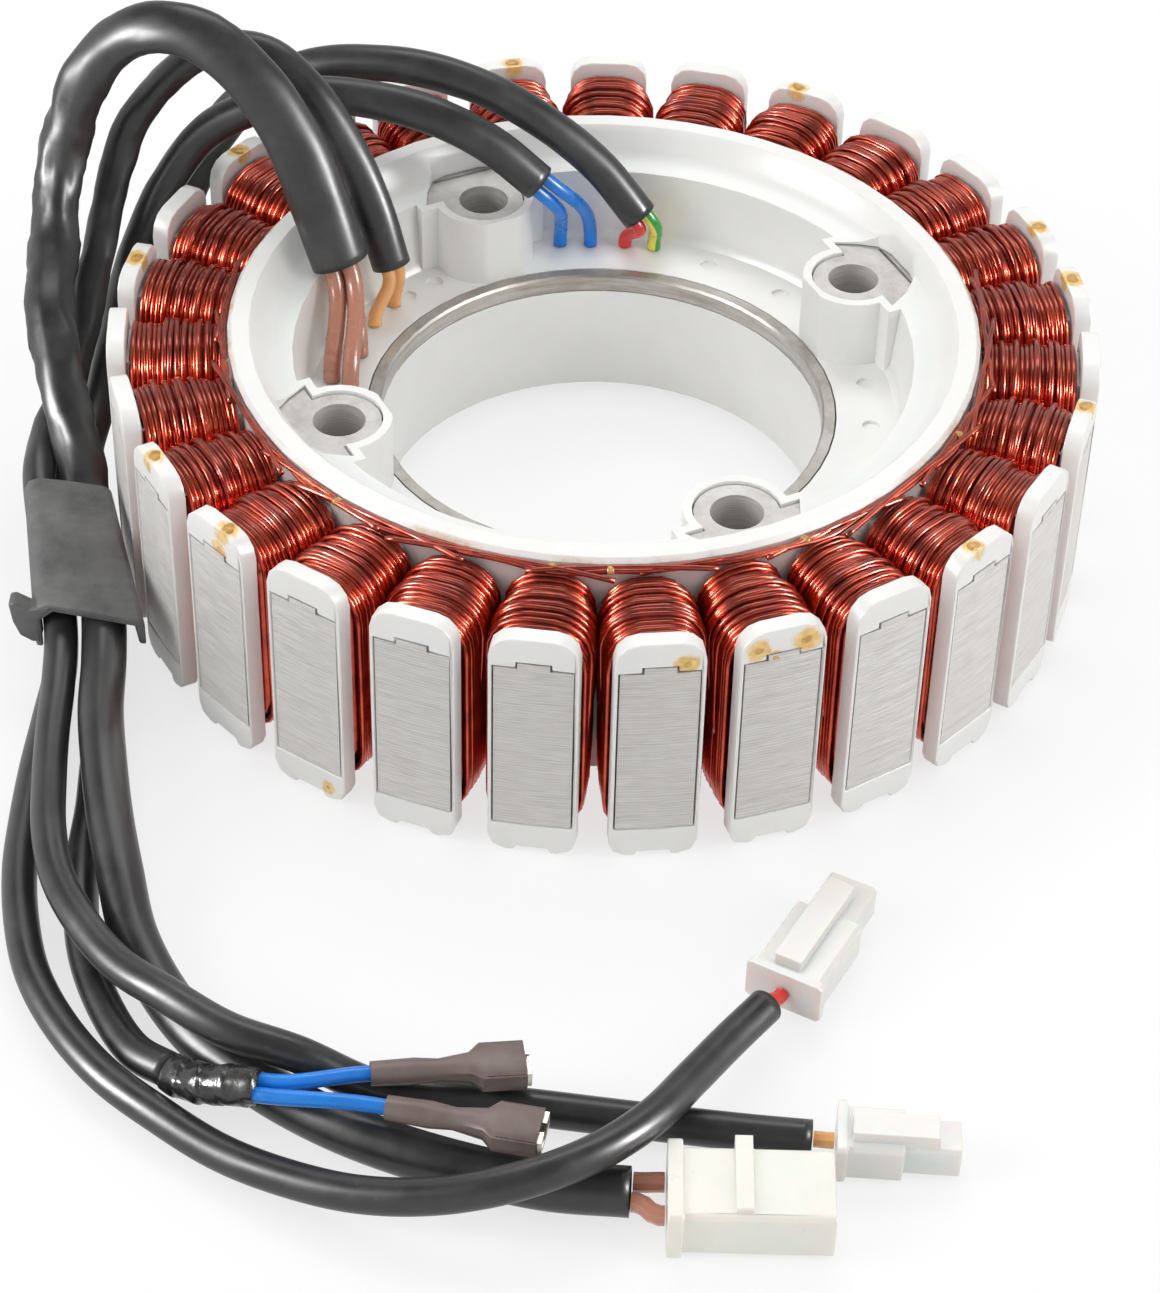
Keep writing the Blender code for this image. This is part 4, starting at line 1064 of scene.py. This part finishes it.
class Group(Nodes):
    """Modifier group from the incoming mesh to the outgoing one."""

    def __init__(self, name):
        super().__init__(bpy.data.node_groups.new(name, "GeometryNodeTree"))
        self.tree.is_modifier = True
        for side in ("INPUT", "OUTPUT"):
            self.tree.interface.new_socket("Geometry", in_out=side, socket_type="NodeSocketGeometry")
        self.angle = self.node("GeometryNodeInputMeshEdgeAngle").outputs["Unsigned Angle"]

    def pass_through(self, *steps):
        mesh = self.node("NodeGroupInput").outputs[0]
        for step in steps:
            self.link(mesh, step.inputs["Geometry"])
            mesh = step.outputs["Geometry"]
        self.link(mesh, self.node("NodeGroupOutput").inputs[0])
        return self.tree


def shading_by_angle():
    """Shade a solid smooth up to its sharp edges."""
    made = Group("shading_by_angle")
    sharp = math.radians(SHARP_ANGLE)
    blunt = made.node("FunctionNodeCompare", made.angle, sharp, operation="LESS_THAN")
    faces = made.node("GeometryNodeSetShadeSmooth")
    edges = made.node("GeometryNodeSetShadeSmooth", domain="EDGE")
    made.link(blunt.outputs[0], edges.inputs["Shade Smooth"])
    return made.pass_through(faces, edges)


def rounded_flanges():
    """Pick the sharp edges of the tooth flanges for rounding."""
    made = Group("rounded_flanges")
    place = made.node("GeometryNodeInputPosition").outputs[0]
    reach = made.vectors("LENGTH", made.vectors("MULTIPLY", place, (1, 1, 0))[0])["Value"]
    sharp = made.maths("GREATER_THAN", made.angle, math.radians(SHARP_ANGLE))
    outer = made.maths("GREATER_THAN", reach, FLANGES_BEYOND * MM)
    keep = made.node("GeometryNodeStoreNamedAttribute", data_type="FLOAT", domain="EDGE")
    keep.inputs["Name"].default_value = "bevel_weight_edge"
    made.link(made.maths("MULTIPLY", sharp, outer), keep.inputs["Value"])
    return made.pass_through(keep)


SHADING = shading_by_angle()


def rounding(obj, width, steps, picked=False):
    """Round the sharp edges, or those that an earlier modifier has picked."""
    edge = obj.modifiers.new("edge", "BEVEL")
    edge.width = width * MM
    edge.segments = steps
    edge.limit_method = "WEIGHT" if picked else "ANGLE"
    edge.angle_limit = math.radians(SHARP_ANGLE)
    return edge


def shading(obj):
    shade = obj.modifiers.new("shade", "NODES")
    shade.node_group = SHADING


def dress(name, slot, width=0.0, steps=0, chosen=None):
    """Give a kept solid joined triangles, rounded edges, clean shading and its material."""
    obj = NODES[name]
    obj.data.materials.clear()
    obj.data.materials.append(FINISH[slot])
    weld = obj.modifiers.new("weld", "WELD")
    weld.merge_threshold = WELD_DISTANCE
    if chosen:
        pick = obj.modifiers.new("pick", "NODES")
        pick.node_group = chosen
    if width:
        edge = rounding(obj, width, steps, chosen is not None)
        edge.use_clamp_overlap = False
    shading(obj)
    normal = obj.modifiers.new("normal", "WEIGHTED_NORMAL")
    normal.keep_sharp = True


def kept_solids():
    for row in KEPT:
        dress(*row)
    dress("insulator", "white_moulding", INSULATOR_ROUNDING, 2, rounded_flanges())


def hood_section(left, right, crown, fall, left_foot, right_foot):
    """Channel across the sleeves, as (x, z), with a broad chamfer on its left edge."""
    inner_left, inner_right, under = left + HOOD_WALL, right - HOOD_WALL, crown - HOOD_ROOF
    middle = (left + right) / 2
    return [
        (left, left_foot), (inner_left, left_foot), (inner_left, under - 2.2), (inner_left + 2.4, under),
        (middle, under - fall / 2 + 0.1), (inner_right, under - fall), (inner_right, right_foot),
        (right, right_foot), (right, crown - fall - 0.9), (right - 0.9, crown - fall),
        (middle, crown - fall / 2 + 0.25), (left + 3.0, crown),
        (left + 0.9, crown - 1.0), (left, crown - 3.2),
    ]


def hood():
    """Rubber hood that widens towards its near end, with a curled lobe at the near left."""
    far, near = HOOD_ENDS

    def place(x, z, run):
        return Vector((x, -run - HOOD_SKEW * (x - HOOD_MIDDLE), z))

    bm = bmesh.new()
    rings = []
    for i in range(HOOD_RINGS + 1):
        t = i / HOOD_RINGS
        sizes = [a + (b - a) * t for a, b in zip(HOOD_FAR, HOOD_NEAR)]
        rings.append([place(x, z, far + (near - far) * t) for x, z in hood_section(*sizes)])
    add_rings(bm, rings)
    left, crown = HOOD_NEAR[0], HOOD_NEAR[2]
    tip = left - LOBE_REACH
    lobe = [
        (tip, crown - 0.9), (tip + 0.5, crown - 5.0), (tip + 1.6, crown - 8.0),
        (left - 0.6, crown - 9.2), (left + 1.0, crown - 9.0), (left + 1.0, crown - 4.0),
        (left + 3.2, crown - 1.4), (left + 3.4, crown - 0.3), (left - 0.5, crown - 1.7),
        (tip + 1.2, crown - 0.4),
    ]
    rings = [[place(x, z, run) for x, z in lobe] for run in (near - LOBE_THICKNESS, near + 0.1)]
    add_rings(bm, rings)
    made = new_object("cable_clip_hood", bm, "clip_rubber", "cable_clip")
    rounding(made, HOOD_EDGE, 3)
    shading(made)
    return made


# Studio


def world_light():
    """Even light on the object, and a backdrop that darkens upwards where it is looked at."""
    world = bpy.data.worlds.new("studio")
    bpy.context.scene.world = world
    world.use_nodes = True
    made = Nodes(world.node_tree)
    plain = world.node_tree.nodes["Background"]
    plain.inputs["Color"].default_value = WHITE
    plain.inputs["Strength"].default_value = WORLD_STRENGTH
    height = made.parts(made.node("ShaderNodeTexCoord").outputs["Generated"])[2]
    backdrop = made.node("ShaderNodeBackground", made.ramp(height, *BACKDROP), 1.0)
    made.show(made.seen_directly(), plain, backdrop, "World Output")


def lamps():
    for name, (place, size, power, lights_all) in LAMPS.items():
        data = bpy.data.lights.new(name, "AREA")
        data.shape = "RECTANGLE"
        data.size, data.size_y = size
        data.energy = power
        lamp = linked(name, data)
        lamp.location = place
        lamp.visible_diffuse = lights_all
        lamp.rotation_mode = "QUATERNION"
        lamp.rotation_quaternion = (LAMP_AIM - Vector(place)).to_track_quat("-Z", "Y")


def floor():
    """Pale floor that looks nearly white and still takes the object's shadow."""
    bm = bmesh.new()
    bmesh.ops.create_grid(bm, x_segments=1, y_segments=1, size=FLOOR_SIZE)
    mesh = bpy.data.meshes.new("floor")
    bm.to_mesh(mesh)
    bm.free()
    obj = linked("floor", mesh)
    obj.location.z = -FLOOR_DROP
    made = Finish("floor", FLOOR_COLOUR, FLOOR_ROUGHNESS)
    glow = made.node("ShaderNodeEmission", WHITE, 1.0)
    share = made.maths("MULTIPLY", made.seen_directly(), FLOOR_GLOW)
    made.show(share, made.shader, glow, "Material Output")
    mesh.materials.append(made.material)


photo_camera()
cords()
windings()
crossovers()
drops()
kept_solids()
world_light()
lamps()
floor()
bpy.context.scene.view_settings.view_transform = "Standard"
